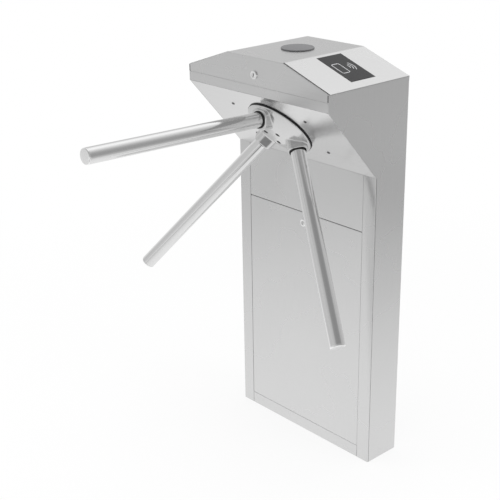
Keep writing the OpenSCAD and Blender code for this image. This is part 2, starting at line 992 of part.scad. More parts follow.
module drive_gear() {
    color(zinc)
        at_rotor()
            difference() {
                union() {
                    rotate(damper_angle)
                        translate([0, 0, gear_z])
                            linear_extrude(gear_t)
                                polygon(gear_outline(gear_teeth));
                    rod(boss_r, gear_boss_end, wheel_boss_end);
                }
                rod(shaft_r, gear_boss_end - cut_over, wheel_boss_end + cut_over);
                for (i = [0 : gear_holes - 1])
                    rotate(360 / gear_holes * i)
                        translate([gear_hole_circle_r, 0, 0])
                            rod(gear_hole_d / 2, gear_z - cut_over, gear_z + gear_t + cut_over);
            }
}

module encoder_disc() {
    encoder_r = encoder_d / 2;
    slot_r = encoder_r - encoder_rim - encoder_slot_l;
    color(black_plastic)
        at_rotor()
            difference() {
                union() {
                    rod(encoder_r, encoder_disc_z, encoder_disc_z + encoder_disc_t);
                    rod(boss_r, encoder_boss_end, gear_boss_end);
                }
                rod(shaft_r, encoder_boss_end - cut_over, gear_boss_end + cut_over);
                for (i = [0 : encoder_slots - 1])
                    rotate(360 / encoder_slots * i)
                        translate([slot_r, -encoder_slot_w / 2, encoder_disc_z - cut_over])
                            cube([encoder_slot_l, encoder_slot_w, encoder_disc_t + 2 * cut_over]);
            }
}

module shaft_nut() {
    color(bearing_steel)
        at_rotor()
            difference() {
                translate([0, 0, nut_end])
                    cylinder(d = nut_d, h = nut_l, $fn = 6);
                rod(shaft_r, nut_end - cut_over, encoder_boss_end + cut_over);
            }
}

// Hub and arms

module hub() {
    color(chrome)
        difference() {
            union() {
                at_rotor() {
                    intersection() {
                        rod(hub_foot_r, hub_foot_z, hub_top_h);
                        translate([0, 0, hub_foot_z - dome_depth])
                            sphere(r = dome_r);
                    }
                    rod(base_ring_in_r - edge_gap, rotor_gap, hub_foot_z + dome_rise / 2);
                }
                intersection() {
                    for (i = [0 : 2])
                        at_arm(i)
                            rod(lobe_r, lobe_start, socket_mouth);
                    at_rotor()
                        rod(2 * hub_r, hub_foot_z, 2 * hub_r);
                }
            }
            for (i = [0 : 2])
                at_arm(i) {
                    rod(arm_r, socket_floor, socket_mouth + cut_over);
                    rod(arm_r + seal_wall, socket_mouth - seal_t, socket_mouth + cut_over);
                    rod(arm_bolt_d / 2 + edge_gap, bolt_seat - cut_over, socket_floor + cut_over);
                    rod(arm_pocket_d / 2, arm_pocket_start, bolt_seat);
                }
            at_rotor() {
                rod(spigot_d / 2, rotor_gap - cut_over, rotor_gap + spigot_h);
                at_hub_screws() {
                    rod(hub_screw_d / 2 + edge_gap, rotor_gap - cut_over, hub_top_h);
                    rod(hub_screw_head_d / 2 + edge_gap, hub_top_h - hub_screw_head_t, hub_top_h + cut_over);
                }
            }
        }
}

module hub_base_ring() {
    color(steel_grey)
        difference() {
            at_rotor()
                tube(hub_r, base_ring_in_r, rotor_gap, hub_foot_z);
            for (i = [0 : 2])
                at_arm(i)
                    rod(arm_r + edge_gap, socket_floor - edge_gap, socket_mouth);
        }
}

module hub_screws() {
    head_r = hub_screw_head_d / 2;
    color(steel_grey)
        at_rotor()
            at_hub_screws()
                difference() {
                    union() {
                        rod(hub_screw_d / 2, flange_back_z, hub_top_h - hub_screw_head_t / 2);
                        rod(head_r, hub_top_h - hub_screw_head_t, hub_top_h);
                    }
                    translate([-head_r, -screw_slot_w / 2, hub_top_h - screw_slot_depth])
                        cube([2 * head_r, screw_slot_w, 2 * screw_slot_depth]);
                }
}

module arm_tube(index) {
    color(chrome)
        at_arm(index)
            tube(arm_r, arm_r - arm_wall, socket_floor, arm_reach - cap_t);
}

module arm_1() {
    arm_tube(0);
}

module arm_2() {
    arm_tube(1);
}

module arm_3() {
    arm_tube(2);
}

// Plugs inside the arms' roots, which take the arm bolts
module arm_plugs() {
    color(zinc)
        for (i = [0 : 2])
            at_arm(i)
                tube(plug_r, arm_bolt_d / 2, socket_floor, socket_floor + plug_l);
}

module arm_end_caps() {
    color(chrome)
        for (i = [0 : 2])
            at_arm(i) {
                rod(arm_r, arm_reach - cap_t, arm_reach - cap_edge);
                translate([0, 0, arm_reach - cap_edge])
                    cylinder(r1 = arm_r, r2 = arm_r - cap_edge, h = cap_edge);
                rod(plug_r, arm_reach - cap_t - cap_plug_l, arm_reach - cap_edge);
            }
}

module arm_seals() {
    color(black_plastic)
        for (i = [0 : 2])
            at_arm(i)
                tube(arm_r + seal_wall, arm_r, socket_mouth - seal_t, socket_mouth);
}

module arm_bolts() {
    color(bearing_steel)
        for (i = [0 : 2])
            at_arm(i) {
                rod(arm_bolt_d / 2, bolt_seat, bolt_seat + arm_bolt_l);
                difference() {
                    rod(arm_bolt_head_d / 2, bolt_seat - arm_bolt_head_l, bolt_seat);
                    translate([0, 0, bolt_seat - arm_bolt_head_l - cut_over])
                        cylinder(d = arm_key_d, h = arm_key_depth + cut_over, $fn = 6);
                }
            }
}

// Locking: pawls on pins, each moved by a solenoid's plunger

module pawl_pins() {
    color(bearing_steel)
        at_rotor()
            for (side = [-1, 1])
                at_pawl_pin(side) {
                    rod(pawl_pin_d / 2, pawl_z - pawl_clip_t - 2 * seat_gap, frame_back_z + pin_spigot_l);
                    rod(pawl_collar_d / 2, pawl_z + pawl_t + seat_gap, frame_back_z);
                    rod(pawl_clip_d / 2, pawl_z - pawl_clip_t - seat_gap, pawl_z - seat_gap);
                }
}

// A pawl in its rest place, with the tooth beside the wheel at +X
module pawl_body() {
    tooth_u = wheel_r + pawl_rest_gap;
    arm_u = tooth_u + pawl_arm_u;
    pin_at = [pawl_pin_u, -pawl_pin_v];
    eye_at = [pawl_pin_u, plunger_v];
    translate([0, 0, pawl_z])
        linear_extrude(pawl_t)
            difference() {
                union() {
                    bar(pin_at, [arm_u, pawl_tooth_v], pawl_arm_w);
                    translate([tooth_u, pawl_tooth_v - pawl_tooth_w / 2])
                        square([arm_u - tooth_u, pawl_tooth_w]);
                    bar(pin_at, eye_at, pawl_lever_w);
                    translate(pin_at)
                        circle(r = pawl_boss_r);
                    translate(eye_at)
                        circle(r = lever_eye_r);
                }
                translate(pin_at)
                    circle(r = pawl_pin_d / 2 + run_gap);
                translate(eye_at)
                    circle(d = lever_hole_d);
            }
}

module pawl_right() {
    color(bearing_steel)
        at_rotor()
            pawl_body();
}

module pawl_left() {
    color(bearing_steel)
        at_rotor()
            mirror([1, 0, 0])
                pawl_body();
}

// Plunger of the solenoid at +X: a rod, a flat tongue and the pin through the pawl's lever
module plunger_body() {
    rod_u = pawl_pin_u + plunger_start;
    translate([0, plunger_v, plunger_z]) {
        translate([rod_u, 0, 0])
            rotate([0, 90, 0])
                cylinder(d = plunger_d, h = solenoid_u + plunger_in - rod_u);
        block(
            [pawl_pin_u - cross_pin_d, -plunger_d / 4, -plunger_tongue_t / 2],
            [plunger_start + 1.5 * cross_pin_d, plunger_d / 2, plunger_tongue_t]
        );
        translate([pawl_pin_u, 0, 0])
            rod(cross_pin_d / 2, -pawl_t - plunger_gap - plunger_tongue_t / 2, plunger_tongue_t / 4);
    }
}

module plunger_right() {
    color(chrome)
        at_rotor()
            plunger_body();
}

module plunger_left() {
    color(chrome)
        at_rotor()
            mirror([1, 0, 0])
                plunger_body();
}

// Solenoid at +X: a yoke with open sides, its coil and the bore for the plunger
module solenoid_body() {
    length = cheek_u - solenoid_u;
    half_w = solenoid_w / 2;
    window = [length - 2 * solenoid_front_t, solenoid_w - 2 * solenoid_front_t, solenoid_w + 2 * cut_over];
    translate([solenoid_u, plunger_v, plunger_z])
        difference() {
            union() {
                difference() {
                    block([0, -half_w, -half_w], [length, solenoid_w, solenoid_w]);
                    block([solenoid_front_t, solenoid_front_t - half_w, -half_w - cut_over], window);
                }
                rotate([0, 90, 0])
                    cylinder(d = coil_d - solenoid_front_t, h = length - solenoid_front_t / 2);
            }
            rotate([0, 90, 0])
                rod(plunger_d / 2 + run_gap, -cut_over, plunger_in + plunger_stroke);
        }
}

module solenoid_right() {
    color(black_plastic)
        at_rotor()
            solenoid_body();
}

module solenoid_left() {
    color(black_plastic)
        at_rotor()
            mirror([1, 0, 0])
                solenoid_body();
}

// Damper and sensor

module at_damper() {
    rotate(damper_angle)
        translate([gear_distance, 0, 0])
            children();
}

module damper_body() {
    color(black_plastic)
        at_rotor()
            at_damper()
                difference() {
                    rod(damper_d / 2, damper_body_end, frame_back_z);
                    rod(
                        pinion_shaft_d / 2 + run_gap, damper_body_end - cut_over,
                        damper_body_end + pinion_shaft_in + seat_gap
                    );
                }
}

// Pinion on the damper's shaft, turned so that its gap meets the gear's tooth
module damper_pinion() {
    color(zinc)
        at_rotor()
            at_damper() {
                rotate(180 + 180 / pinion_teeth)
                    translate([0, 0, gear_z])
                        linear_extrude(gear_t)
                            polygon(gear_outline(pinion_teeth));
                rod(pinion_shaft_d / 2, gear_z, damper_body_end + pinion_shaft_in);
                rod(pinion_collar_d / 2, gear_z, gear_z + gear_t + pinion_collar_l);
            }
}

function sensor_board_z() = encoder_disc_z - fork_gap - fork_arm_t - sensor_board_t;

module encoder_sensor() {
    board_z = sensor_board_z();
    strip_l = sensor_board_end - sensor_board_start;
    fork_in = encoder_d / 2 - fork_from_edge;
    fork_l = fork_from_edge + fork_gap + fork_back;
    fork_z = board_z + sensor_board_t / 2;
    fork_top = encoder_disc_z + encoder_disc_t + fork_gap + fork_arm_t / 2;
    slot = [fork_l - fork_back + cut_over, fork_w + 2 * cut_over, encoder_disc_t + 2 * fork_gap];
    color(board_green)
        at_rotor()
            at_sensor() {
                difference() {
                    union() {
                        translate([sensor_board_start, -sensor_board_w / 2, board_z])
                            cube([strip_l, sensor_board_w, sensor_board_t]);
                        block([fork_in, -fork_w / 2, fork_z], [fork_l, fork_w, fork_top - fork_z]);
                    }
                    block([fork_in - cut_over, -fork_w / 2 - cut_over, encoder_disc_z - fork_gap], slot);
                    translate([sensor_post_at, 0, 0])
                        rod(sensor_screw_d / 2, board_z - cut_over, board_z + sensor_board_t + cut_over);
                }
                translate([sensor_post_at, 0, 0]) {
                    rod(sensor_screw_d / 2, board_z, board_z + sensor_screw_l);
                    rod(sensor_screw_head_d / 2, board_z - sensor_board_t, board_z);
                }
            }
}

// Lid

// Outline of the roof sheet: two slopes and the flat strip between them
module roof_outline() {
    inner_ridge = roof_flat_half - sheet_t * tan(roof_angle / 2);
    polygon([
        [-half_l, eaves_h], [-roof_flat_half, cabinet_h], [roof_flat_half, cabinet_h], [half_l, eaves_h],
        [half_l, eaves_h - roof_drop_t], [inner_ridge, cabinet_h - sheet_t],
        [-inner_ridge, cabinet_h - sheet_t], [-half_l, eaves_h - roof_drop_t]
    ]);
}

// Outline of the lid's front and back flanges, which hang between the side plates
module lid_flange_outline() {
    edge_x = inner_half_l - seam;
    mid_drop = roof_drop_t / 2;
    shoulder_z = eaves_h + (half_l - edge_x) * tan(roof_angle) - mid_drop;
    polygon([
        [-edge_x, lid_seam_h + seam / 2], [edge_x, lid_seam_h + seam / 2], [edge_x, shoulder_z],
        [roof_flat_half, cabinet_h - mid_drop], [-roof_flat_half, cabinet_h - mid_drop], [-edge_x, shoulder_z]
    ]);
}

module top_lid() {
    window_mid = window_from_front;
    color(steel_grey)
        difference() {
            union() {
                along_y(head_y, head_d)
                    roof_outline();
                along_y(head_y, sheet_t)
                    lid_flange_outline();
                along_y(back_y - sheet_t, sheet_t)
                    lid_flange_outline();
            }
            for (side = [-1, 1])
                at_roof(side)
                    block(
                        [window_from_ridge - edge_gap, window_mid - window_w / 2 - edge_gap, -2 * sheet_t],
                        [window_l + 2 * edge_gap, window_w + 2 * edge_gap, 4 * sheet_t]
                    );
            translate([0, head_y + indicator_from_front, 0])
                rod(indicator_stem_r() + edge_gap, cabinet_h - 2 * sheet_t, cabinet_h + cut_over);
            at_lid_lock()
                rod(lock_barrel_d / 2 + edge_gap, -cut_over, sheet_t + cut_over);
        }
}

module reader_window(side) {
    color(dark_glass)
        at_roof(side)
            block(
                [window_from_ridge, window_from_front - window_w / 2, -sheet_t],
                [window_l, window_w, sheet_t + window_proud]
            );
}

module reader_window_left() {
    reader_window(-1);
}

module reader_window_right() {
    reader_window(1);
}

// Trays under the windows: the rim carries the window's edge and the roof
module reader_housings() {
    foot_z = -sheet_t - housing_depth;
    color(black_plastic)
        for (side = [-1, 1])
            at_roof(side)
                translate([window_from_ridge, window_from_front - window_w / 2, foot_z])
                    difference() {
                        block(
                            [-housing_rim, -housing_rim, 0],
                            [window_l + 2 * housing_rim, window_w + 2 * housing_rim, housing_depth]
                        );
                        block(
                            [window_edge, window_edge, housing_floor],
                            [window_l - 2 * window_edge, window_w - 2 * window_edge, housing_depth]
                        );
                    }
}

module reader_boards() {
    floor_z = housing_floor - sheet_t - housing_depth;
    x0 = window_from_ridge + window_edge + edge_gap;
    y0 = window_from_front - window_w / 2 + window_edge + edge_gap;
    length = window_l - 2 * window_edge - 2 * edge_gap;
    width = window_w - 2 * window_edge - 2 * edge_gap;
    chip_size = [reader_chip, reader_chip, reader_board_t + reader_chip_t];
    color(board_green)
        for (side = [-1, 1])
            at_roof(side)
                translate([x0, y0, floor_z]) {
                    block([0, 0, reader_foot_h], [length, width, reader_board_t]);
                    for (x = reader_foot_shares * length, y = reader_foot_shares * width)
                        translate([x, y, 0])
                            cylinder(r = reader_foot_h, h = reader_foot_h + reader_board_t / 2);
                    for (x = reader_chip_shares * length)
                        block([x, (width - reader_chip) / 2, reader_foot_h], chip_size);
                }
}

function indicator_stem_r() = indicator_d / 2 - indicator_stem_wall;

module at_indicator() {
    translate([0, head_y + indicator_from_front, cabinet_h])
        children();
}

module indicator_cap() {
    stem_r = indicator_stem_r();
    cap_edge_r = indicator_d / 2;
    side_h = indicator_h - indicator_chamfer;
    color(lens_grey)
        at_indicator() {
            rod(cap_edge_r, 0, side_h);
            translate([0, 0, side_h])
                cylinder(r1 = cap_edge_r, r2 = cap_edge_r - indicator_chamfer, h = indicator_chamfer);
            tube(stem_r, stem_r - indicator_stem_wall / 2, -indicator_stem_l, indicator_h / 2);
            rod(stem_r - indicator_stem_wall / 4, -indicator_stem_l, -indicator_stem_l + indicator_board_t);
        }
}

module indicator_nut() {
    stem_r = indicator_stem_r();
    color(black_plastic)
        at_indicator()
            tube(stem_r + indicator_nut_edge, stem_r, -sheet_t - indicator_nut_t, -sheet_t);
}

// Hinge along the back of the lid

// Places along X of the knuckles that belong to one leaf
function knuckle_places(moving) = [
    for (i = [0 : knuckle_count - 1]) if ((i % 2 == 1) == moving) -hinge_l / 2 + hinge_l / knuckle_count * i
];

module hinge_knuckles(moving) {
    for (x = knuckle_places(moving))
        translate([x + knuckle_gap / 2, hinge_y, lid_seam_h])
            rotate([0, 90, 0])
                cylinder(r = knuckle_r, h = hinge_l / knuckle_count - knuckle_gap);
}

// Tongues that join a leaf to its knuckles, above or below the pin
module hinge_tongues(moving, up) {
    reach = leaf_w - seam;
    for (x = knuckle_places(moving))
        block(
            [x + knuckle_gap / 2, back_y, up ? lid_seam_h : lid_seam_h - reach],
            [hinge_l / knuckle_count - knuckle_gap, sheet_t, reach]
        );
}

module hinge_bore(radial_gap) {
    translate([-hinge_l / 2 - cut_over, hinge_y, lid_seam_h])
        rotate([0, 90, 0])
            cylinder(r = hinge_pin_d / 2 + radial_gap, h = hinge_l + 2 * cut_over);
}

module hinge_fixed_leaf() {
    leaf_top = lid_seam_h - knuckle_r - 2 * knuckle_gap;
    color(bearing_steel)
        difference() {
            union() {
                mid_block(hinge_l / 2, back_y, sheet_t, leaf_top - leaf_fixed_w, leaf_fixed_w);
                hinge_tongues(false, false);
                hinge_knuckles(false);
            }
            hinge_bore(run_gap);
        }
}

module hinge_moving_leaf() {
    leaf_foot = lid_seam_h + knuckle_r + 2 * knuckle_gap;
    color(bearing_steel)
        difference() {
            union() {
                mid_block(hinge_l / 2, back_y, sheet_t, leaf_foot, leaf_w);
                hinge_tongues(true, true);
                hinge_knuckles(true);
            }
            hinge_bore(0);
        }
}

module hinge_pin() {
    color(chrome)
        translate([-hinge_l / 2, hinge_y, lid_seam_h])
            rotate([0, 90, 0])
                cylinder(d = hinge_pin_d, h = hinge_l);
}

// Locks

// Body of a cam lock: bezel on the sheet, barrel through it and nut behind it
module lock_body() {
    color(chrome)
        difference() {
            union() {
                translate([0, 0, -lock_bezel_t])
                    cylinder(d1 = lock_face_d - lock_bezel_t, d2 = lock_face_d, h = lock_bezel_t);
                rod(lock_barrel_d / 2, 0, lock_barrel_l);
                translate([0, 0, sheet_t])
                    cylinder(d = lock_nut_d, h = lock_nut_t, $fn = 6);
            }
            rod(lock_plug_d / 2 + run_gap, -lock_bezel_t - cut_over, lock_barrel_l + cut_over);
        }
}

// Turning plug with its keyway, the cam that points to +Y at an angle, and the cam's screw
module lock_plug(angle) {
    cam_z = lock_barrel_l + cam_gap;
    color(steel_grey)
        difference() {
            union() {
                rod(lock_plug_d / 2, -lock_bezel_t, cam_z);
                rod(cam_stub_d / 2, cam_z - cam_gap, cam_z + cam_t);
                rod(cam_screw_d / 2, cam_z + cam_t, cam_z + cam_t + cam_screw_t);
                rotate(angle)
                    translate([0, 0, cam_z])
                        linear_extrude(cam_t)
                            bar([0, 0], [0, cam_l - cam_w / 2], cam_w);
            }
            block(
                [-keyway_w / 2, -keyway_l / 2, -lock_bezel_t - cut_over],
                [keyway_w, keyway_l, keyway_depth + cut_over]
            );
        }
}

module lid_lock_body() {
    at_lid_lock()
        lock_body();
}

// The lid's cam hangs down while the lid is free
module lid_lock_plug() {
    at_lid_lock()
        lock_plug(0);
}

module door_lock_body() {
    at_door_lock()
        lock_body();
}

// The door's cam lies level while the door is free
module door_lock_plug() {
    at_door_lock()
        lock_plug(90);
}

// Door: a shallow folded panel, with two tabs whose pins stand in the kick strip's cradles

module door_panel() {
    height = door_head_z - door_foot_z;
    flange_y = front_y + sheet_t / 2;
    color(steel_white)
        difference() {
            union() {
                mid_block(door_half, front_y, sheet_t, door_foot_z, height);
                for (z = [door_foot_z, door_head_z - sheet_t])
                    mid_block(door_half - seam, flange_y, door_flange_d, z, sheet_t);
                for (x = [-door_half + seam, door_half - seam - sheet_t])
                    block([x, flange_y, door_foot_z], [sheet_t, door_flange_d, height]);
                for (x = [-tab_from_mid, tab_from_mid])
                    block(
                        [x - door_tab_w / 2, door_pin_y - sheet_t / 2, door_pin_z],
                        [door_tab_w, sheet_t, door_foot_z + sheet_t / 2 - door_pin_z]
                    );
                at_door_pins(door_pin_r, door_tab_w);
            }
            at_door_lock()
                rod(lock_barrel_d / 2 + edge_gap, -cut_over, sheet_t + cut_over);
        }
}

// Electrics in the column

module board_tray() {
    tray_y = back_y - sheet_t - tray_stand - tray_t;
    half = board_l / 2 + tray_margin;
    tray_top = tray_z + board_h + 2 * tray_margin;
    color(zinc) {
        mid_block(half, tray_y, tray_t, tray_z, tray_top - tray_z);
        for (x = [tray_foot_d - half, half - tray_foot_d], z = [tray_z + tray_foot_d, tray_top - tray_foot_d])
            translate([x, tray_y + tray_t / 2, z])
                rotate([-90, 0, 0])
                    cylinder(d = tray_foot_d, h = tray_stand + tray_t / 2);
    }
}

module control_board() {
    tray_y = back_y - sheet_t - tray_stand - tray_t;
    board_y = tray_y - board_stand - board_t;
    board_z = tray_z + tray_margin;
    spacer_x = board_l / 2 - spacer_d;
    color(board_green)
        translate([0, board_y, board_z]) {
            mid_block(board_l / 2, 0, board_t, 0, board_h);
            for (x = [-spacer_x, spacer_x], z = [spacer_d, board_h - spacer_d])
                translate([x, board_t / 2, z])
                    rotate([-90, 0, 0])
                        cylinder(d = spacer_d, h = board_stand + board_t / 2);
            for (x = terminal_shares * board_l)
                block([x, -terminal_d, spacer_d / 2], [terminal_w, terminal_d + board_t / 2, terminal_h]);
            for (x = relay_shares * board_l)
                block([x, -relay_d, board_h * relay_rise_share], [relay_w, relay_d + board_t / 2, relay_h]);
            block([chip_w / 2, -board_t, board_h * chip_rise_share], [chip_w, board_t * 1.5, chip_w]);
        }
}

module power_supply() {
    supply_y = back_y - sheet_t - supply_d;
    slot_z = (supply_h - supply_slot_l) / 2;
    pitch = supply_l / (supply_slots + 1);
    color(steel_grey)
        translate([-supply_l / 2, supply_y, supply_z])
            difference() {
                cube([supply_l, supply_d, supply_h]);
                for (i = [1 : supply_slots])
                    translate([pitch * i - supply_slot_w / 2, -cut_over, slot_z])
                        cube([supply_slot_w, supply_slot_depth + cut_over, supply_slot_l]);
            }
}

module cable_grommet() {
    opening_r = cable_opening_d / 2;
    color(black_plastic) {
        tube(opening_r, opening_r - grommet_wall, seat_gap, floor_plate_t + grommet_t / 2);
        tube(opening_r + grommet_flange, opening_r - grommet_wall, floor_plate_t, floor_plate_t + grommet_t);
    }
}

module earth_stud() {
    color(brass)
        translate([stud_x, stud_y, 0]) {
            rod(stud_d / 2, floor_plate_t / 2, floor_plate_t + stud_l);
            for (z = [floor_plate_t, floor_plate_t + 2 * stud_nut_t])
                translate([0, 0, z])
                    cylinder(d = stud_nut_d, h = stud_nut_t, $fn = 6);
        }
}

cabinet_shell();
floor_plate();
frame_posts();
kick_strip();
upper_front_panel();
head_band();
rotor_plate();
frame_screws();
mechanism_frame();
bearing_housing();
housing_bolts_set();
bearing_outer_rings();
pawl_pins();
solenoid_left();
solenoid_right();
damper_body();
encoder_sensor();
hinge_fixed_leaf();
control_board();
board_tray();
power_supply();
cable_grommet();
earth_stud();
hub();
hub_base_ring();
hub_screws();
arm_1();
arm_2();
arm_3();
arm_plugs();
arm_end_caps();
arm_seals();
arm_bolts();
main_shaft();
bearing_inner_rings();
bearing_balls();
bearing_spacer();
locking_wheel();
drive_gear();
encoder_disc();
shaft_nut();
pawl_left();
pawl_right();
plunger_left();
plunger_right();
damper_pinion();
top_lid();
hinge_moving_leaf();
hinge_pin();
reader_window_left();
reader_window_right();
reader_housings();
reader_boards();
indicator_cap();
indicator_nut();
lid_lock_body();
lid_lock_plug();
door_panel();
door_lock_body();
door_lock_plug();
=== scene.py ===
"""Tripod turnstile: looks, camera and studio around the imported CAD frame."""

import logging
import math
from dataclasses import dataclass
from enum import Enum

import bmesh
import bpy
from mathutils import Matrix, Vector


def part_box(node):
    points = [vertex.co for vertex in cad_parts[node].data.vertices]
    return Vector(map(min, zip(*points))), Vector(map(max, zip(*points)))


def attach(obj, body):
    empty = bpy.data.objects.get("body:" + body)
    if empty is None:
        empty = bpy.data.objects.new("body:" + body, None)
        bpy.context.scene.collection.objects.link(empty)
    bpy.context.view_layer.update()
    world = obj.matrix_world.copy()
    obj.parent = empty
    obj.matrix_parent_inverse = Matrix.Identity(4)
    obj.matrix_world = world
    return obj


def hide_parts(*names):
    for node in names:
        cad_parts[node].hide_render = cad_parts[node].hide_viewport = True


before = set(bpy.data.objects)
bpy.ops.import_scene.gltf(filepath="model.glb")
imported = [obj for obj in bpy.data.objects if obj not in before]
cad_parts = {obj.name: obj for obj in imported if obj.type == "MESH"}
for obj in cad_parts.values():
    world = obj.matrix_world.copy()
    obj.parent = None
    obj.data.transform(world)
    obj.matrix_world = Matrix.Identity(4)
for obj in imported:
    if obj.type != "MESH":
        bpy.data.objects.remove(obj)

LOG = logging.getLogger("turnstile")
MM = 0.001
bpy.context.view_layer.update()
ARMS = range(3)

Pair = tuple[float, float]
Triple = tuple[float, float, float]
Outline = list[Pair]
Names = tuple[str, ...]
BMesh = bmesh.types.BMesh
Edge = bmesh.types.BMEdge
Material = bpy.types.Material
Object = bpy.types.Object
Socket = bpy.types.NodeSocket


class Grain(Enum):
    """The way that a sheet's brushing runs."""

    UPRIGHT = (1100.0, 1100.0, 14.0)
    ALONG = (14.0, 1100.0, 1100.0)
    NONE = (240.0, 240.0, 240.0)


# Finishes

FINE_DETAIL = 3.0
BROAD_DETAIL = 2.0
NOISE_REACH = (0.3, 0.7)


class Graph:
    """A node tree, with short calls for the nodes that finishes, floor and world share."""

    def __init__(self, tree: bpy.types.NodeTree) -> None:
        """Takes a node tree on."""
        self.tree = tree

    def add(self, kind: str, inputs: dict[str | int, object], **settings: str) -> bpy.types.Node:
        """Adds a node.

        Args:
            kind: the node's type.
            inputs: a socket to link or a plain value for each input, by name or number.
            settings: the node's own settings.

        Returns:
            The node.
        """
        node = self.tree.nodes.new(kind)
        for name, value in settings.items():
            setattr(node, name, value)
        for name, value in inputs.items():
            if isinstance(value, Socket):
                self.tree.links.new(value, node.inputs[name])
            else:
                node.inputs[name].default_value = value
        return node

    def arithmetic(self, operation: str, *values: Socket | float) -> Socket:
        """Adds a Math node on sockets or plain numbers."""
        fed = dict(enumerate(values))
        return self.add("ShaderNodeMath", fed, operation=operation).outputs[0]

    def measure(self, operation: str, place: Socket, other: Triple | Vector = (0, 0, 0)) -> Socket:
        """Adds a Vector Math node that gives a number."""
        fed = {0: place, 1: other}
        return self.add("ShaderNodeVectorMath", fed, operation=operation).outputs["Value"]

    def ramp(self, value: Socket, reach: Pair, levels: Pair, way: str = "SMOOTHSTEP") -> Socket:
        """Adds a step from one level to another.

        Args:
            value: what the step depends on.
            reach: where the step starts and ends.
            levels: the levels before and after it.
            way: how it goes between them.

        Returns:
            The level.
        """
        (start, end), (low, high) = reach, levels
        fed = {"Value": value, "From Min": start, "From Max": end, "To Min": low, "To Max": high}
        return self.add("ShaderNodeMapRange", fed, interpolation_type=way).outputs["Result"]

    def blend(self, share: Socket, first: Socket, second: Socket) -> Socket:
        """Mixes two shaders, with the second's share."""
        return self.add("ShaderNodeMixShader", {"Fac": share, 1: first, 2: second}).outputs[0]

    def light_path(self, *kinds: str) -> Socket:
        """Adds up some of Light Path's outputs.

        Args:
            kinds: the outputs' names.

        Returns:
            Their sum.
        """
        path = self.add("ShaderNodeLightPath", {})
        total = path.outputs[kinds[0]]
        for kind in kinds[1:]:
            total = self.arithmetic("ADD", total, path.outputs[kind])
        return total


class FinishGraph(Graph):
    """A material's node tree round its surface shader."""

    def __init__(self, name: str) -> None:
        """Makes the material.

        Args:
            name: its name.
        """
        self.material = bpy.data.materials.new(name)
        self.material.use_nodes = True
        super().__init__(self.material.node_tree)
        self.shader = self.tree.nodes["Principled BSDF"]
        self.place = self.add("ShaderNodeTexCoord", {}).outputs["Object"]

    def noise(self, scale: Triple, detail: float) -> Socket:
        """Adds a noise on the object's own coordinates.

        Args:
            scale: how often the pattern repeats along X, Y and Z, per metre.
            detail: how many finer layers it has.

        Returns:
            The noise's factor.
        """
        mapping = self.add("ShaderNodeMapping", {"Vector": self.place, "Scale": scale})
        fed = {"Vector": mapping.outputs["Vector"], "Scale": 1.0, "Detail": detail}
        return self.add("ShaderNodeTexNoise", fed).outputs["Fac"]

    def spread(self, noise: Socket, low: float, high: float) -> Socket:
        """Maps a noise's usual reach onto a range."""
        return self.ramp(noise, NOISE_REACH, (low, high), "LINEAR")

    def tint(self, noise: Socket, low: Triple, high: Triple) -> Socket:
        """Mixes two colours by a noise."""
        fed = {"A": (*low, 1.0), "B": (*high, 1.0), "Factor": self.spread(noise, 0.0, 1.0)}
        return self.add("ShaderNodeMix", fed, data_type="RGBA").outputs["Result"]

    def bump(self, noise: Socket, strength: float, depth: float) -> None:
        """Raises the surface by a noise, at most by a depth in metres."""
        fed = {"Height": noise, "Strength": strength, "Distance": depth}
        self.feed("Normal", self.add("ShaderNodeBump", fed).outputs["Normal"])

    def feed(self, socket: str, value: Socket) -> None:
        """Links a value to one of the shader's sockets."""
        self.tree.links.new(value, self.shader.inputs[socket])

    def fix(self, **values: float) -> None:
        """Sets the shader's plain sockets, with underscores for spaces in their names."""
        for name, value in values.items():
            self.shader.inputs[name.replace("_", " ")].default_value = value


@dataclass(frozen=True)
class Metal:
    """A bare or plated metal."""

    name: str
    tone: float
    roughness: float
    warmth: float = 0.0
    grain: Grain = Grain.NONE
    grain_depth: float = 4e-6
    mottling: float = 0.02
    unevenness: float = 0.03
    patches: Triple = (6.0,) * 3
    relief: float = 0.35

    def build(self) -> Material:
        """Makes the material.

        Returns:
            The material.
        """
        graph = FinishGraph(self.name)
        fine = graph.noise(self.grain.value, FINE_DETAIL)
        broad = graph.noise(self.patches, BROAD_DETAIL)
        tones = (self.tone * (1.0 - self.mottling), self.tone * (1.0 + self.mottling))
        warm, cool = 1.0 + self.warmth, 1.0 - self.warmth
        dark, light = ((tone * warm, tone, tone * cool) for tone in tones)
        graph.feed("Base Color", graph.tint(fine, dark, light))
        smooth, rough = self.roughness - self.unevenness, self.roughness + self.unevenness
        graph.feed("Roughness", graph.spread(broad, smooth, rough))
        graph.bump(fine, self.relief, self.grain_depth)
        graph.fix(Metallic=1.0)
        return graph.material


@dataclass(frozen=True)
class Plastic:
    """A moulded plastic, rubber or coated board."""

    name: str
    colour: Triple
    roughness: float
    coat: float = 0.0
    gloss: float = 0.5
    pebbles: Triple = (400.0,) * 3
    depth: float = 3e-5
    patches: Triple = (14.0,) * 3
    mottling: float = 0.1
    smoother: float = 0.04
    rougher: float = 0.06
    relief: float = 0.25
    coat_roughness: float = 0.05

    def build(self) -> Material:
        """Makes the material.

        Returns:
            The material.
        """
        graph = FinishGraph(self.name)
        pebble = graph.noise(self.pebbles, FINE_DETAIL)
        broad = graph.noise(self.patches, BROAD_DETAIL)
        dark = tuple(c * (1.0 - self.mottling) for c in self.colour)
        light = tuple(min(1.0, c * (1.0 + self.mottling)) for c in self.colour)
        graph.feed("Base Color", graph.tint(broad, dark, light))
        smooth, rough = self.roughness - self.smoother, self.roughness + self.rougher
        graph.feed("Roughness", graph.spread(pebble, smooth, rough))
        graph.bump(pebble, self.relief, self.depth)
        graph.fix(
            Coat_Weight=self.coat,
            Coat_Roughness=self.coat_roughness,
            Specular_IOR_Level=self.gloss,
        )
        return graph.material


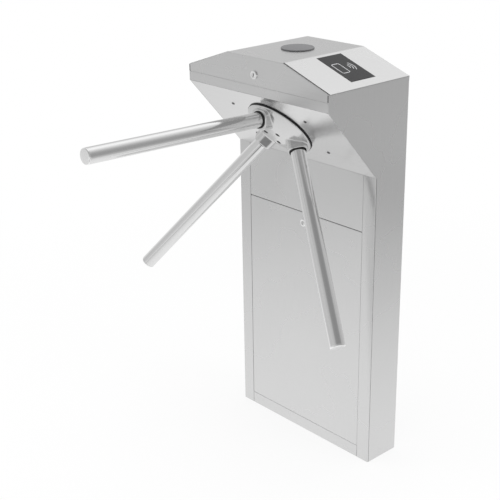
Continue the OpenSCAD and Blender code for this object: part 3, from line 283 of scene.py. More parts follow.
FINISHES: dict[str, Metal | Plastic] = {
    "satin_steel": Metal("satin_upright", 0.71, 0.27, grain=Grain.UPRIGHT),
    "zinc_steel": Metal("zinc_plating", 0.52, 0.34, warmth=0.02, mottling=0.10),
    "hinge_steel": Metal("plain_hinge_steel", 0.58, 0.32),
    "frame_alloy": Metal("machined_alloy", 0.56, 0.30, grain=Grain.ALONG),
    "hub_polish": Metal("polished_hub", 0.70, 0.17, grain_depth=1e-6, unevenness=0.02),
    "arm_chrome": Metal("arm_chrome", 0.80, 0.10, grain_depth=1e-6, unevenness=0.02),
    "bright_fixings": Metal("bright_fixings", 0.74, 0.16),
    # Black oxide for the hub's screws; also the painted shade of the seat sleeves and the plate
    # screws' slot blocks.
    "black_fixings": Metal("black_oxide_and_painted_shade", 0.05, 0.40),
    "ground_steel": Metal("ground_steel", 0.62, 0.22, grain_depth=6e-6),
    "coil_black": Plastic("coil_black", (0.012, 0.012, 0.014), 0.45),
    # Also the black strips and blocks of painted shade: the lid's corners, the side plates' corner
    # seams and the key slots.
    "black_plastic": Plastic("black_plastic", (0.010, 0.010, 0.011), 0.5),
    "seal_rubber": Plastic("seal_rubber", (0.008, 0.008, 0.008), 0.7),
    "smoked_window": Plastic("smoked_window", (0.010, 0.010, 0.011), 0.30, gloss=0.25, depth=3e-6),
    "grey_lens": Plastic("grey_lens", (0.155, 0.155, 0.16), 0.40, gloss=0.3, depth=6e-6),
    "circuit_board": Plastic("coated_board", (0.012, 0.10, 0.035), 0.35, coat=0.3),
    "brass": Metal("plain_brass", 0.60, 0.28, warmth=0.35),
    "satin_along": Metal("satin_along", 0.71, 0.27, grain=Grain.ALONG),
    "face_plate": Metal("bright_face_plate", 0.75, 0.20, grain=Grain.ALONG),
    "lock_chrome": Metal("lock_chrome", 0.93, 0.14, grain_depth=1e-6),
    "cap_chrome": Metal("cap_chrome", 0.95, 0.20, grain_depth=1e-6, mottling=0.01),
    "screw_heads": Metal("darkened_screw_heads", 0.14, 0.34),
    "sign_print": Plastic("sign_print", (0.48, 0.48, 0.49), 0.45, gloss=0.3, depth=3e-6),
}
SHEET_FINISHES = {
    "rotor_plate": "face_plate",
    "top_lid": "satin_along",
    "head_band": "satin_along",
    "kick_strip": "satin_along",
}


class Wardrobe:
    """Makes each finish once and puts it on nodes and new pieces."""

    def __init__(self) -> None:
        """Makes the finishes of the record's slots, and those of single sheets and pieces."""
        self.finishes = {name: finish.build() for name, finish in FINISHES.items()}

    def dress_nodes(self) -> None:
        """Gives every CAD node the procedural material of its slot."""
        for name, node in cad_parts.items():
            for place in node.material_slots:
                slot = place.material.name.split(".")[0]
                place.material = self.finishes[SHEET_FINISHES.get(name, slot)]
            LOG.info("node %s dressed as %s", name, node.material_slots[0].material.name)


# Places


def mirror(side: int) -> Matrix:
    """Mirror across the middle for side -1, and no change for side 1."""
    return Matrix.Diagonal((float(side), 1.0, 1.0, 1.0))


@dataclass(frozen=True)
class Places:
    """The frames in which the rotor, its arms and the roof's slopes are built, in metres.

    The slopes are given as rise and run, and the arms by the cone that they lie on.
    """

    rotor: Triple = (0.0, -126 * MM, 809.5 * MM)
    plate_slope: Pair = (173.0, 152.0)
    apex_depth: float = 42 * MM
    cone: float = math.radians(43.0)
    ridge: Triple = (88 * MM, -202 * MM, 980 * MM)
    roof_slope: Pair = (46.0, 134.0)

    def at_rotor(self) -> Matrix:
        """Frame of the rotor: Z out of the sloped plate, Y up it."""
        lean = math.pi - math.atan2(*self.plate_slope)
        return Matrix.Translation(self.rotor) @ Matrix.Rotation(lean, 4, "X")

    def at_arm(self, index: int) -> Matrix:
        """Frame of an arm: Z from the arms' meeting point to the tip.

        Args:
            index: 0 for the barrier arm, then 1 and 2.

        Returns:
            The frame's matrix.
        """
        turn = Matrix.Rotation(math.tau / len(ARMS) * index, 4, "Z")
        lean = Matrix.Rotation(-self.cone, 4, "X")
        return self.at_rotor() @ Matrix.Translation((0, 0, -self.apex_depth)) @ turn @ lean

    def at_roof(self, side: int) -> Matrix:
        """Frame of a roof slope, at +X for side 1: X down the slope, Y to the back, Z out of it."""
        lean = Matrix.Rotation(math.atan2(*self.roof_slope), 4, "Y")
        return mirror(side) @ Matrix.Translation(self.ridge) @ lean


PLACES = Places()


# Mesh making

SIDES = 96
SHARP = 30.0
CREASE = 32.0
FINE_CREASE = 60.0
WELD = 1e-6


def arc(centre: Pair, radii: Pair, turn: Pair, steps: int) -> Outline:
    """Works out the points along an arc of a circle or an ellipse.

    Args:
        centre: its middle.
        radii: its radii across and up.
        turn: the angles at which it starts and ends, in radians.
        steps: the pieces that it is split into.

    Returns:
        The points, with both ends.
    """
    start, end = turn
    angles = [start + (end - start) * step / steps for step in range(steps + 1)]
    return [
        (centre[0] + radii[0] * math.cos(a), centre[1] + radii[1] * math.sin(a)) for a in angles
    ]


def sharp_edges(bm: BMesh, angle: float) -> list[Edge]:
    """Edges between two faces that meet at more than an angle."""
    return [e for e in bm.edges if len(e.link_faces) == 2 and e.calc_face_angle() > angle]


def bevel(bm: BMesh, edges: list[Edge], width: float, segments: int, clamp: bool = True) -> None:
    """Rounds edges.

    Args:
        bm: the mesh.
        edges: the edges to round.
        width: the bevel's width.
        segments: steps across the bevel.
        clamp: whether the bevel gives way where it has no room.
    """
    bmesh.ops.bevel(
        bm,
        geom=edges,
        offset=width,
        offset_type="OFFSET",
        segments=segments,
        profile=0.5,
        affect="EDGES",
        clamp_overlap=clamp,
        material=-1,
    )


def link(name: str, data: bpy.types.ID) -> Object:
    """Puts data into the scene.

    Args:
        name: the new object's name.
        data: its mesh, lamp or camera.

    Returns:
        The object, at the origin.
    """
    made = bpy.data.objects.new(name, data)
    bpy.context.scene.collection.objects.link(made)
    return made


class Shape:
    """A bmesh under construction, with the steps that the pieces share."""

    def __init__(self) -> None:
        """Starts an empty mesh."""
        self.bm = bmesh.new()

    def lathe(self, profile: Outline, segments: int = SIDES) -> "Shape":
        """Spins a closed outline of radius and height round Z.

        Args:
            profile: the outline's corners, as radius and height in metres.
            segments: steps of the full turn.

        Returns:
            This shape.
        """
        corners = [self.bm.verts.new((r, 0.0, z)) for r, z in profile]
        edges = [self.bm.edges.new((a, b)) for a, b in zip(corners, corners[1:] + corners[:1])]
        bmesh.ops.spin(
            self.bm,
            geom=corners + edges,
            cent=(0, 0, 0),
            axis=(0, 0, 1),
            angle=math.tau,
            steps=segments,
            use_merge=True,
        )
        return self.tidy()

    def drum(self, radius: float, low: float, high: float, segments: int = SIDES) -> "Shape":
        """Adds a closed drum on Z.

        Args:
            radius: its radius.
            low: its lower face.
            high: its upper face.
            segments: its sides.

        Returns:
            This shape.
        """
        bmesh.ops.create_cone(
            self.bm,
            cap_ends=True,
            segments=segments,
            radius1=radius,
            radius2=radius,
            depth=high - low,
            matrix=Matrix.Translation((0, 0, (low + high) / 2)),
        )
        return self

    def box(self, low: Triple, high: Triple) -> "Shape":
        """Adds a block between two corners.

        Args:
            low: its lowest corner.
            high: its highest corner.

        Returns:
            This shape.
        """
        low, high = Vector(low), Vector(high)
        fit = Matrix.Translation((high + low) / 2) @ Matrix.Diagonal((*(high - low), 1.0))
        bmesh.ops.create_cube(self.bm, size=1.0, matrix=fit)
        return self

    def joined(self, other: "Shape") -> "Shape":
        """Adds another shape's mesh to this one and frees it.

        Args:
            other: the shape to take in.

        Returns:
            This shape.
        """
        mesh = bpy.data.meshes.new("part")
        other.bm.to_mesh(mesh)
        other.bm.free()
        self.bm.from_mesh(mesh)
        bpy.data.meshes.remove(mesh)
        return self

    def moved(self, matrix: Matrix) -> "Shape":
        """Transforms everything made so far.

        Args:
            matrix: the transform.

        Returns:
            This shape.
        """
        bmesh.ops.transform(self.bm, matrix=matrix, verts=self.bm.verts)
        if matrix.determinant() < 0:
            bmesh.ops.reverse_faces(self.bm, faces=self.bm.faces)
        return self

    def tidy(self) -> "Shape":
        """Merges doubles and points the faces outwards.

        Returns:
            This shape.
        """
        bmesh.ops.remove_doubles(self.bm, verts=self.bm.verts, dist=WELD)
        bmesh.ops.recalc_face_normals(self.bm, faces=self.bm.faces)
        return self

    def rounded(self, width: float, angle: float = SHARP, segments: int = 3) -> "Shape":
        """Bevels every edge that is sharper than an angle in degrees."""
        bevel(self.bm, sharp_edges(self.bm, math.radians(angle)), width, segments)
        return self

    def piece(self, name: str, smooth_angle: float = CREASE) -> Object:
        """Turns the mesh into an object of the scene.

        Args:
            name: the object's name.
            smooth_angle: edges sharper than this many degrees stay sharp.

        Returns:
            The object, at the origin.
        """
        mesh = bpy.data.meshes.new(name)
        self.bm.to_mesh(mesh)
        self.bm.free()
        mesh.shade_smooth()
        mesh.set_sharp_from_angle(angle=math.radians(smooth_angle))
        return link(name, mesh)


@dataclass
class SubAssembly:
    """A group of new pieces on one CAD body."""

    wardrobe: Wardrobe
    body: str = "cabinet"

    def place(self, made: Object, slot: str, stands_for: Names = (), finish: str = "") -> None:
        """Gives a piece its finish and lets it ride on the body.

        Args:
            made: the piece.
            slot: the record's material slot.
            stands_for: the CAD nodes that it replaces.
            finish: its finish, where it isn't the slot's own.
        """
        made.data.materials.clear()
        made.data.materials.append(self.wardrobe.finishes[finish or slot])
        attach(made, self.body)
        if stands_for:
            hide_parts(*stands_for)
        LOG.info("piece %s: %d faces on %s", made.name, len(made.data.polygons), self.body)


def settle(made: Object) -> None:
    """Applies an object's modifiers to its mesh.

    Args:
        made: the object.
    """
    graph = bpy.context.evaluated_depsgraph_get()
    graph.update()
    fixed = bpy.data.meshes.new_from_object(made.evaluated_get(graph))
    made.modifiers.clear()
    old = made.data
    made.data = fixed
    bpy.data.meshes.remove(old)
    fixed.name = made.name


@dataclass
class Arms(SubAssembly):
    """Three chrome tubes with their end caps."""

    body: str = "rotor"
    radius: float = 17 * MM
    wall: float = 2 * MM
    root: float = 80 * MM
    reach: float = 553 * MM
    edge: float = 0.35 * MM
    cap: float = 4 * MM
    cap_round: float = 2.5 * MM
    cap_steps: int = 8
    cap_edge: float = 0.3 * MM
    plug: float = 12 * MM
    play: float = 0.05 * MM
    sides: int = 128

    def tube(self, index: int) -> None:
        """Builds one arm's tube.

        Args:
            index: 0 for the barrier arm, then 1 and 2.
        """
        end = self.reach - self.cap
        inner = self.radius - self.wall
        eased = self.radius - self.edge
        outline = [
            (inner, self.root),
            (eased, self.root),
            (self.radius, self.root + self.edge),
            (self.radius, end - self.edge),
            (eased, end),
            (inner, end),
        ]
        shape = Shape().lathe(outline, self.sides).moved(PLACES.at_arm(index))
        self.place(shape.piece(f"arm_tube_{index + 1}"), "arm_chrome", (f"arm_{index + 1}",))

    def caps(self) -> None:
        """Builds the three end caps, each with a rounded rim and a plug inside the tube."""
        foot = self.reach - self.cap
        inner = self.radius - self.wall - self.play
        bend = (self.radius - self.cap_round, self.reach - self.cap_round)
        outline = [
            (0.0, foot - self.plug),
            (inner, foot - self.plug),
            (inner, foot),
            (self.radius - self.cap_edge, foot),
            (self.radius, foot + self.cap_edge),
            *arc(bend, (self.cap_round,) * 2, (0.0, math.pi / 2), self.cap_steps),
            (0.0, self.reach),
        ]
        whole = Shape()
        for index in ARMS:
            whole.joined(Shape().lathe(outline, self.sides).moved(PLACES.at_arm(index)))
        made = whole.piece("arm_caps_polished")
        self.place(made, "arm_chrome", ("arm_end_caps",), "cap_chrome")

    def build(self) -> None:
        """Builds the tubes and caps."""
        for index in ARMS:
            self.tube(index)
        self.caps()


@dataclass
class Hub(SubAssembly):
    """The polished hub: a low dome on a black ring, with three square bosses for the arms."""

    body: str = "rotor"
    foot_radius: float = 83.4 * MM
    foot_z: float = 3.0 * MM
    shoulder_z: float = 4.6 * MM
    top_z: float = 25 * MM
    flat_radius: float = 30 * MM
    dome_steps: int = 16
    boss_half: float = 22.5 * MM
    boss_start: float = 50 * MM
    boss_round: float = 12 * MM
    boss_steps: int = 6
    mouth: float = 96.5 * MM
    grid: float = 1.1 * MM
    seat_radius: float = 5.7 * MM
    seat_z: float = 20.5 * MM
    seat_from_axis: float = 22 * MM
    seat_top: float = 40 * MM
    seat_sides: int = 48
    seat_angles: tuple[float, ...] = (30.0, 150.0, 270.0)
    ring_radius: float = 84 * MM
    ring_bore: float = 60 * MM
    ring_foot: float = 0.3 * MM
    ring_sides: int = 160
    gasket_radius: float = 19.6 * MM
    gasket_length: float = 1.8 * MM
    tube_bore: float = 17.05 * MM
    socket: Pair = (80 * MM, 130 * MM)
    foot_cut: Triple = (0.2, 0.2, 0.1)
    spigot: Pair = (12 * MM, 8 * MM)
    edge: float = 0.4 * MM
    # Wall and play of the black sleeves that paint shade into the screw seats.
    sleeve_wall: float = 0.5 * MM
    sleeve_play: float = 0.02 * MM
    softening: float = 0.5
    soften_rounds: int = 10
    crease: float = math.radians(35)

    def dome_outline(self) -> Outline:
        """Works out the dome's outline.

        Returns:
            Its corners, as radius and height.
        """
        rise = self.top_z - self.shoulder_z
        depth = (self.foot_radius**2 - self.flat_radius**2 - rise**2) / (2 * rise)
        ball = math.hypot(self.foot_radius, depth)
        start = math.atan2(depth, self.foot_radius)
        end = math.acos(self.flat_radius / ball)
        return [
            (0.0, self.foot_z - self.grid),
            (self.foot_radius, self.foot_z - self.grid),
            *arc((0.0, self.shoulder_z - depth), (ball, ball), (start, end), self.dome_steps),
            (0.0, self.top_z),
        ]

    def at_arm(self, index: int) -> Matrix:
        """Frame of an arm, seen from the rotor's own frame."""
        return PLACES.at_rotor().inverted() @ PLACES.at_arm(index)

    def boss(self, index: int) -> Shape:
        """Makes one boss, square across with rounded long edges.

        Args:
            index: the arm's number.

        Returns:
            The boss, in the rotor's frame.
        """
        half = self.boss_half
        shape = Shape().box((-half, -half, self.boss_start), (half, half, self.mouth))
        long_edges = [e for e in shape.bm.edges if abs((e.verts[0].co - e.verts[1].co).z) > half]
        bevel(shape.bm, long_edges, self.boss_round, self.boss_steps)
        return shape.moved(self.at_arm(index))

    def cut(self, made: Object, holes: list[Shape]) -> None:
        """Cuts holes into a piece.

        Args:
            made: the piece.
            holes: the closed shapes to take away.
        """
        cutters = [hole.piece("cutter") for hole in holes]
        for cutter in cutters:
            step = made.modifiers.new("cut", "BOOLEAN")
            step.operation = "DIFFERENCE"
            step.solver = "EXACT"
            step.object = cutter
        settle(made)
        for cutter in cutters:
            mesh = cutter.data
            bpy.data.objects.remove(cutter)
            bpy.data.meshes.remove(mesh)

    def at_seat(self, angle: float) -> Matrix:
        """Frame of a screw seat, seen from the rotor's own frame."""
        turn = Matrix.Rotation(math.radians(angle), 4, "Z")
        return turn @ Matrix.Translation((self.seat_from_axis, 0, 0))

    def casting(self) -> None:
        """Blends the dome and bosses into one casting and cuts its sockets and screw seats."""
        whole = Shape().lathe(self.dome_outline())
        for index in ARMS:
            whole.joined(self.boss(index))
        made = whole.piece("hub_polished")
        blend = made.modifiers.new("blend", "REMESH")
        blend.mode = "VOXEL"
        blend.voxel_size = self.grid
        blend.use_smooth_shade = True
        soften = made.modifiers.new("soften", "SMOOTH")
        soften.factor = self.softening
        soften.iterations = self.soften_rounds
        settle(made)
        wide, deep, low = self.foot_cut
        radius, height = self.spigot
        holes = [
            Shape().box((-wide, -deep, -low), (wide, deep, self.foot_z)),
            Shape().drum(radius, 0.0, height),
        ]
        for angle in self.seat_angles:
            seat = Shape().drum(self.seat_radius, self.seat_z, self.seat_top, self.seat_sides)
            holes.append(seat.moved(self.at_seat(angle)))
        for index in ARMS:
            holes.append(Shape().drum(self.tube_bore, *self.socket).moved(self.at_arm(index)))
        self.cut(made, holes)
        made.data.transform(PLACES.at_rotor())
        made.data.shade_smooth()
        made.data.set_sharp_from_angle(angle=self.crease)
        self.place(made, "hub_polish", ("hub",))

    def base_ring(self) -> None:
        """Builds the black ring under the hub."""
        eased = self.ring_radius - self.edge
        outline = [
            (self.ring_bore, self.ring_foot),
            (eased, self.ring_foot),
            (self.ring_radius, self.ring_foot + self.edge),
            (self.ring_radius, self.foot_z - self.edge),
            (eased, self.foot_z),
            (self.ring_bore, self.foot_z),
        ]
        ring = Shape().lathe(outline, self.ring_sides).moved(PLACES.at_rotor())
        self.place(ring.piece("hub_black_ring"), "black_plastic", ("hub_base_ring",))

    def gaskets(self) -> None:
        """Builds the black rings at the arms' mouths."""
        low, high = self.mouth - self.edge, self.mouth + self.gasket_length
        outline = [
            (self.tube_bore, low),
            (self.gasket_radius, low),
            (self.gasket_radius, high - self.edge),
            (self.gasket_radius - self.edge, high),
            (self.tube_bore, high),
        ]
        whole = Shape()
        for index in ARMS:
            whole.joined(Shape().lathe(outline).moved(PLACES.at_arm(index)))
        self.place(whole.piece("arm_gaskets"), "seal_rubber", ("arm_seals",))

    def sleeves(self) -> None:
        """Builds a black sleeve in each screw seat, as painted shade of the deep seat."""
        inner, outer = self.seat_radius - self.sleeve_wall, self.seat_radius - self.sleeve_play
        top = self.top_z - self.edge
        outline = [(inner, self.seat_z), (outer, self.seat_z), (outer, top), (inner, top)]
        whole = Shape()
        for angle in self.seat_angles:
            sleeve = Shape().lathe(outline, self.seat_sides)
            whole.joined(sleeve.moved(PLACES.at_rotor() @ self.at_seat(angle)))
        # The black sleeves are painted shade of the recessed seats.
        self.place(whole.piece("screw_seat_shade"), "black_fixings")

    def build(self) -> None:
        """Builds the casting, its black rings, and a black sleeve of painted shade in each screw
        seat.
        """
        self.casting()
        self.base_ring()
        self.gaskets()
        self.sleeves()


@dataclass
class FoldedSheets(SubAssembly):
    """The cabinet's sheets with their real bends, each made from a copy of its solid.

    The edges at the height of crisp, the door's foot and the kick strip's top, stay unbent.
    """

    bend: float = 2.2 * MM
    edge: float = 0.3 * MM
    wide: float = 4 * MM
    long: float = 15 * MM
    bend_angle: float = math.radians(12)
    bend_steps: int = 4
    cut_angle: float = math.radians(25)
    cut_steps: int = 2
    flat_angle: float = math.radians(1)
    weld: float = 5e-6
    evenness: int = 100
    crisp: Pair = (28 * MM, 34 * MM)
    sheets: tuple[tuple[str, str, str], ...] = (
        ("cabinet_shell", "cabinet", "shell_folded"),
        ("head_band", "cabinet", "band_folded"),
        ("rotor_plate", "cabinet", "face_plate_trimmed"),
        ("upper_front_panel", "cabinet", "upper_panel_folded"),
        ("kick_strip", "cabinet", "kick_strip_folded"),
        ("top_lid", "lid", "lid_folded"),
        ("door_panel", "door", "door_folded"),
    )

    def width_of(self, face: bmesh.types.BMFace) -> float:
        """Mean width of a face, from its area and outline."""
        return 2 * face.calc_area() / max(face.calc_perimeter(), WELD)

    def fold(self, node: Object, name: str) -> Object:
        """Copies a solid's mesh and rounds its outer bends and its cut edges.

        Args:
            node: the CAD node.
            name: the new piece's name.

        Returns:
            The piece.
        """
        shape = Shape()
        bm = shape.bm
        bm.from_mesh(node.data)
        bmesh.ops.remove_doubles(bm, verts=bm.verts, dist=self.weld)
        bmesh.ops.dissolve_limit(bm, angle_limit=self.flat_angle, verts=bm.verts, edges=bm.edges)
        bends = [
            e
            for e in sharp_edges(bm, self.bend_angle)
            if e.is_convex
            and e.calc_length() > self.long
            and min(self.width_of(f) for f in e.link_faces) > self.wide
            and not all(self.crisp[0] < v.co.z < self.crisp[1] for v in e.verts)
        ]
        bevel(bm, bends, self.bend, self.bend_steps, clamp=False)
        cuts = sharp_edges(bm, self.cut_angle)
        bevel(bm, cuts, self.edge, self.cut_steps)
        LOG.info("sheet %s: %d bends and %d cut edges", name, len(bends), len(cuts))
        made = shape.piece(name, FINE_CREASE)
        even = made.modifiers.new("even", "WEIGHTED_NORMAL")
        even.weight = self.evenness
        even.keep_sharp = True
        settle(made)
        return made

    def build(self) -> None:
        """Builds each sheet on its own body."""
        for node, body, name in self.sheets:
            made = self.fold(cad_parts[node], name)
            self.body = body
            self.place(made, "satin_steel", (node,), SHEET_FINISHES.get(node, ""))


@dataclass
class ReaderSigns(SubAssembly):
    """A plain generic sign printed on each reader window: a card's outline and three arcs."""

    body: str = "lid"
    lift: float = 0.12 * MM
    line: float = 2.2 * MM
    arc_radii: tuple[float, ...] = (8 * MM, 14.5 * MM, 21 * MM)
    arc_span: float = math.radians(44)
    arc_foot: float = 3 * MM
    arc_steps: int = 12
    card_half: Pair = (11 * MM, 19 * MM)
    card_round: float = 4 * MM
    corner_steps: int = 4
    card_drop: float = 16 * MM

    def stroke(self, shape: Shape, points: Outline) -> None:
        """Adds a flat stroke along points.

        Args:
            shape: the mesh that takes the stroke.
            points: the stroke's middle line.
        """
        half = self.line / 2
        left, right = [], []
        for index, (x, y) in enumerate(points):
            x0, y0 = points[max(index - 1, 0)]
            x1, y1 = points[min(index + 1, len(points) - 1)]
            along = Vector((x1 - x0, y1 - y0, 0)).normalized()
            side = Vector((-along.y, along.x, 0)) * half
            left.append(shape.bm.verts.new(Vector((x, y, 0)) + side))
            right.append(shape.bm.verts.new(Vector((x, y, 0)) - side))
        quads = zip(left, left[1:], right[1:], right)
        faces = [shape.bm.faces.new(quad) for quad in quads]
        bmesh.ops.solidify(shape.bm, geom=faces, thickness=self.lift)

    def sign(self, centre: Vector, frame_at: Matrix) -> Shape:
        """Makes one sign.

        Args:
            centre: the window's middle, on its outer face.
            frame_at: the roof slope's frame, for the directions.

        Returns:
            The sign's mesh.
        """
        shape = Shape()
        span = (math.pi / 2 + self.arc_span, math.pi / 2 - self.arc_span)
        for radius in self.arc_radii:
            line = arc((0.0, self.arc_foot), (radius, radius), span, self.arc_steps)
            self.stroke(shape, line)
        half_y, half_x = self.card_half
        corner = self.card_round
        outline = []
        quarter = math.pi / 2
        for turn, (x, y) in enumerate(((1, 1), (-1, 1), (-1, -1), (1, -1))):
            middle = (x * (half_x - corner), y * (half_y - corner) - self.card_drop)
            span = (quarter * turn, quarter * (turn + 1))
            outline += arc(middle, (corner, corner), span, self.corner_steps)
        self.stroke(shape, outline + outline[:2])
        return shape.moved(Matrix.Translation(centre) @ frame_at.to_3x3().to_4x4())

    def build(self) -> None:
        """Builds a sign on each window."""
        for side, name in ((1, "right"), (-1, "left")):
            low, high = (Vector(c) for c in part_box(f"reader_window_{name}"))
            at = PLACES.at_roof(side)
            local = at.inverted() @ ((low + high) / 2)
            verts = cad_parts[f"reader_window_{name}"].data.vertices
            top = max((at.inverted() @ v.co).z for v in verts)
            centre = at @ Vector((local.x, local.y, top + self.lift))
            made = self.sign(centre, at).tidy().piece(f"reader_sign_{name}")
            self.place(made, "grey_lens", finish="sign_print")


@dataclass
class LockFaces(SubAssembly):
    """The key locks' chrome faces: a domed rim round a recessed plug, with a black block as painted
    shade of its key slot.

    The dome's foot and swell are shares of its rise.
    """

    radius: float = 9.4 * MM
    inner: float = 5.0 * MM
    skirt: float = 1.8 * MM
    rise: float = 1.6 * MM
    dome: Pair = (0.4, 0.6)
    dome_span: Pair = (math.radians(160), math.radians(20))
    dome_steps: int = 7
    rim_sides: int = 64
    rim_crease: float = 50.0
    plug_sides: int = 48
    plug_radius: float = 4.85 * MM
    plug_face: float = 0.5 * MM
    # Half width and height of the black block that paints the key slot's shade.
    keyway_half: Pair = (1.2 * MM, 3.4 * MM)
    edge: float = 0.3 * MM
    locks: tuple[tuple[str, str], ...] = (("lid", "lid_lock"), ("door", "door_lock"))

    def at_lock(self, name: str) -> Matrix:
        """Frame of a lock: Z out of its face, Y up.

        Args:
            name: the lock's name, which begins its nodes' names.

        Returns:
            The frame's matrix, at the middle of the CAD face.
        """
        low, high = (Vector(c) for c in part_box(f"{name}_body"))
        middle = (low + high) / 2
        turned = Matrix.Rotation(math.pi / 2, 4, "X")
        return Matrix.Translation((middle.x, low.y, middle.z)) @ turned

    def rim(self) -> Shape:
        """Makes the domed rim.

        Returns:
            The rim, in the lock's frame.
        """
        middle = (self.radius + self.inner) / 2
        foot, swell = (share * self.rise for share in self.dome)
        radii = (middle - self.inner, swell)
        outline = [
            (self.inner, -self.edge),
            (self.inner + self.edge, self.rise - 3 * self.edge),
            *arc((middle, foot), radii, self.dome_span, self.dome_steps),
            (self.radius, self.edge),
            (self.radius, -self.skirt),
            (self.radius - self.edge, -self.skirt),
            (self.radius - self.edge, -self.edge),
        ]
        return Shape().lathe(outline, self.rim_sides)

    def build(self) -> None:
        """Builds each lock's rim on its panel, and its plug and the black block of the key slot's
        painted shade on the plug's own body.
        """
        wide, high = self.keyway_half
        for panel, name in self.locks:
            at = self.at_lock(name)
            self.body = panel
            rim = self.rim().moved(at).piece(f"{name}_rim", self.rim_crease)
            self.place(rim, "bright_fixings", finish="lock_chrome")
            self.body = name
            disc = Shape().drum(self.plug_radius, -self.edge, self.plug_face, self.plug_sides)
            plug = disc.rounded(self.edge).moved(at).piece(f"{name}_plug_face")
            self.place(plug, "bright_fixings", finish="lock_chrome")
            # The key slot is a black block on the plug face: painted shade of the slot.
            slot = Shape().box((-wide, -high, 0.0), (wide, high, self.plug_face + self.edge / 3))
            keyway_shade = slot.rounded(self.edge / 2, FINE_CREASE, 2).moved(at).piece(f"{name}_keyway")
            self.place(keyway_shade, "black_plastic")


@dataclass
class PlateScrews(SubAssembly):
    """The four small slotted screws that hold the mechanism behind the sloped plate."""

    across: float = 116 * MM
    along: float = 55.6 * MM
    radius: float = 3.9 * MM
    rise: float = 1.7 * MM
    shank: float = 2.5 * MM
    depth: float = 9 * MM
    # Size of the black blocks that paint the slots' shade on the heads.
    slot_half: float = 0.5 * MM
    slot_foot: float = 0.9 * MM
    slot_share: float = 0.8
    slot_rise: float = 1.03
    dome_span: Pair = (math.radians(15), math.radians(75))
    dome_steps: int = 4
    sides: int = 40

    def head(self) -> Shape:
        """Makes one screw with a domed head.

        Returns:
            The screw, in the plate's frame.
        """
        outline = [
            (0.0, -self.depth),
            (self.shank, -self.depth),
            (self.shank, 0.0),
            (self.radius, 0.0),
            *arc((0.0, 0.0), (self.radius, self.rise), self.dome_span, self.dome_steps),
            (0.0, self.rise),
        ]
        return Shape().lathe(outline, self.sides)

    def build(self) -> None:
        """Builds the four screws, with black blocks on their heads as painted shade of the slots.
        """
        heads, slots = Shape(), Shape()
        reach = self.radius * self.slot_share
        low = (-reach, -self.slot_half, self.slot_foot)
        high = (reach, self.slot_half, self.rise * self.slot_rise)
        for u in (-self.across, self.across):
            for v in (-self.along, self.along):
                at = PLACES.at_rotor() @ Matrix.Translation((u, v, 0))
                heads.joined(self.head().moved(at))
                # Each slot is a black block on the domed head: painted shade of the slot.
                slot = Shape().box(low, high).rounded(self.slot_half / 3, FINE_CREASE, 2)
                slots.joined(slot.moved(at))
        made = heads.piece("plate_screws_domed")
        self.place(made, "black_fixings", ("frame_screws",), "screw_heads")
        self.place(slots.piece("plate_screw_slot_shade"), "black_fixings")


@dataclass
class SheetSeams(SubAssembly):
    """Black strips of painted shade in the lid's open corners and the side plates' corner seams,
    and the folds that show inside the narrow seams.

    The corners of all strips are in millimetres.
    """

    # Corners of the lid's black strips of painted shade: along a slope's front edge, and at the
    # flange's end.
    corner_shade_low: Triple = (0.4, 1.5, -0.8)
    corner_shade_high: Triple = (141.2, 4.8, 0.14)
    end_shade_low: Triple = (219.3, -202.15, 918.4)
    end_shade_high: Triple = (221.6, -201.0, 932.8)
    folds: tuple[tuple[str, Triple, Triple], ...] = (
        ("lid_rest_fold", (-219.0, -201.4, 917.1), (219.0, -200.6, 917.9)),
        ("right_jamb_fold", (185.6, -49.5, 19.0), (186.4, -48.7, 722.0)),
        ("kick_strip_fold", (-185.3, -49.9, 30.55), (185.3, -49.0, 31.08)),
    )
    # Corners of the black strips in the side plates' corner seams, which paint the seams' shade.
    wall_seam_shade_low: Triple = (221.4, -47.7, 1.0)
    wall_seam_shade_high: Triple = (222.06, -46.8, 722.0)
    edge: float = 0.06 * MM

    def strip(self, low: Triple, high: Triple) -> Shape:
        """Makes a narrow strip with eased edges between two corners, given in millimetres."""
        low, high = (tuple(v * MM for v in corner) for corner in (low, high))
        return Shape().box(low, high).rounded(self.edge, FINE_CREASE, 2)

    def corner_shade(self, side: int) -> Shape:
        """Makes the painted shade strip along the front edge of a roof slope, and the one at the
        flange's end.

        Args:
            side: 1 for the slope at +X, -1 for the other.

        Returns:
            The beads' mesh.
        """
        shape = self.strip(self.corner_shade_low, self.corner_shade_high).moved(PLACES.at_roof(side))
        return shape.joined(self.strip(self.end_shade_low, self.end_shade_high).moved(mirror(side)))

    def build(self) -> None:
        """Builds the painted shade strips on the lid and at the cabinet's corners, and the folds on
        the cabinet.
        """
        # Black strips along the lid's open corners: painted shade of the corner gaps.
        corner_shades = self.corner_shade(1).joined(self.corner_shade(-1))
        self.body = "lid"
        self.place(corner_shades.piece("lid_corner_shade"), "black_plastic")
        self.body = "cabinet"
        # Black strips down the side plates' corner seams: painted shade of the joints.
        seams = Shape()
        for side in (1, -1):
            seam = self.strip(self.wall_seam_shade_low, self.wall_seam_shade_high)
            seams.joined(seam.moved(mirror(side)))
        self.place(seams.piece("side_plate_seam_shade"), "black_plastic")
        for name, low, high in self.folds:
            self.place(self.strip(low, high).piece(name), "satin_steel")


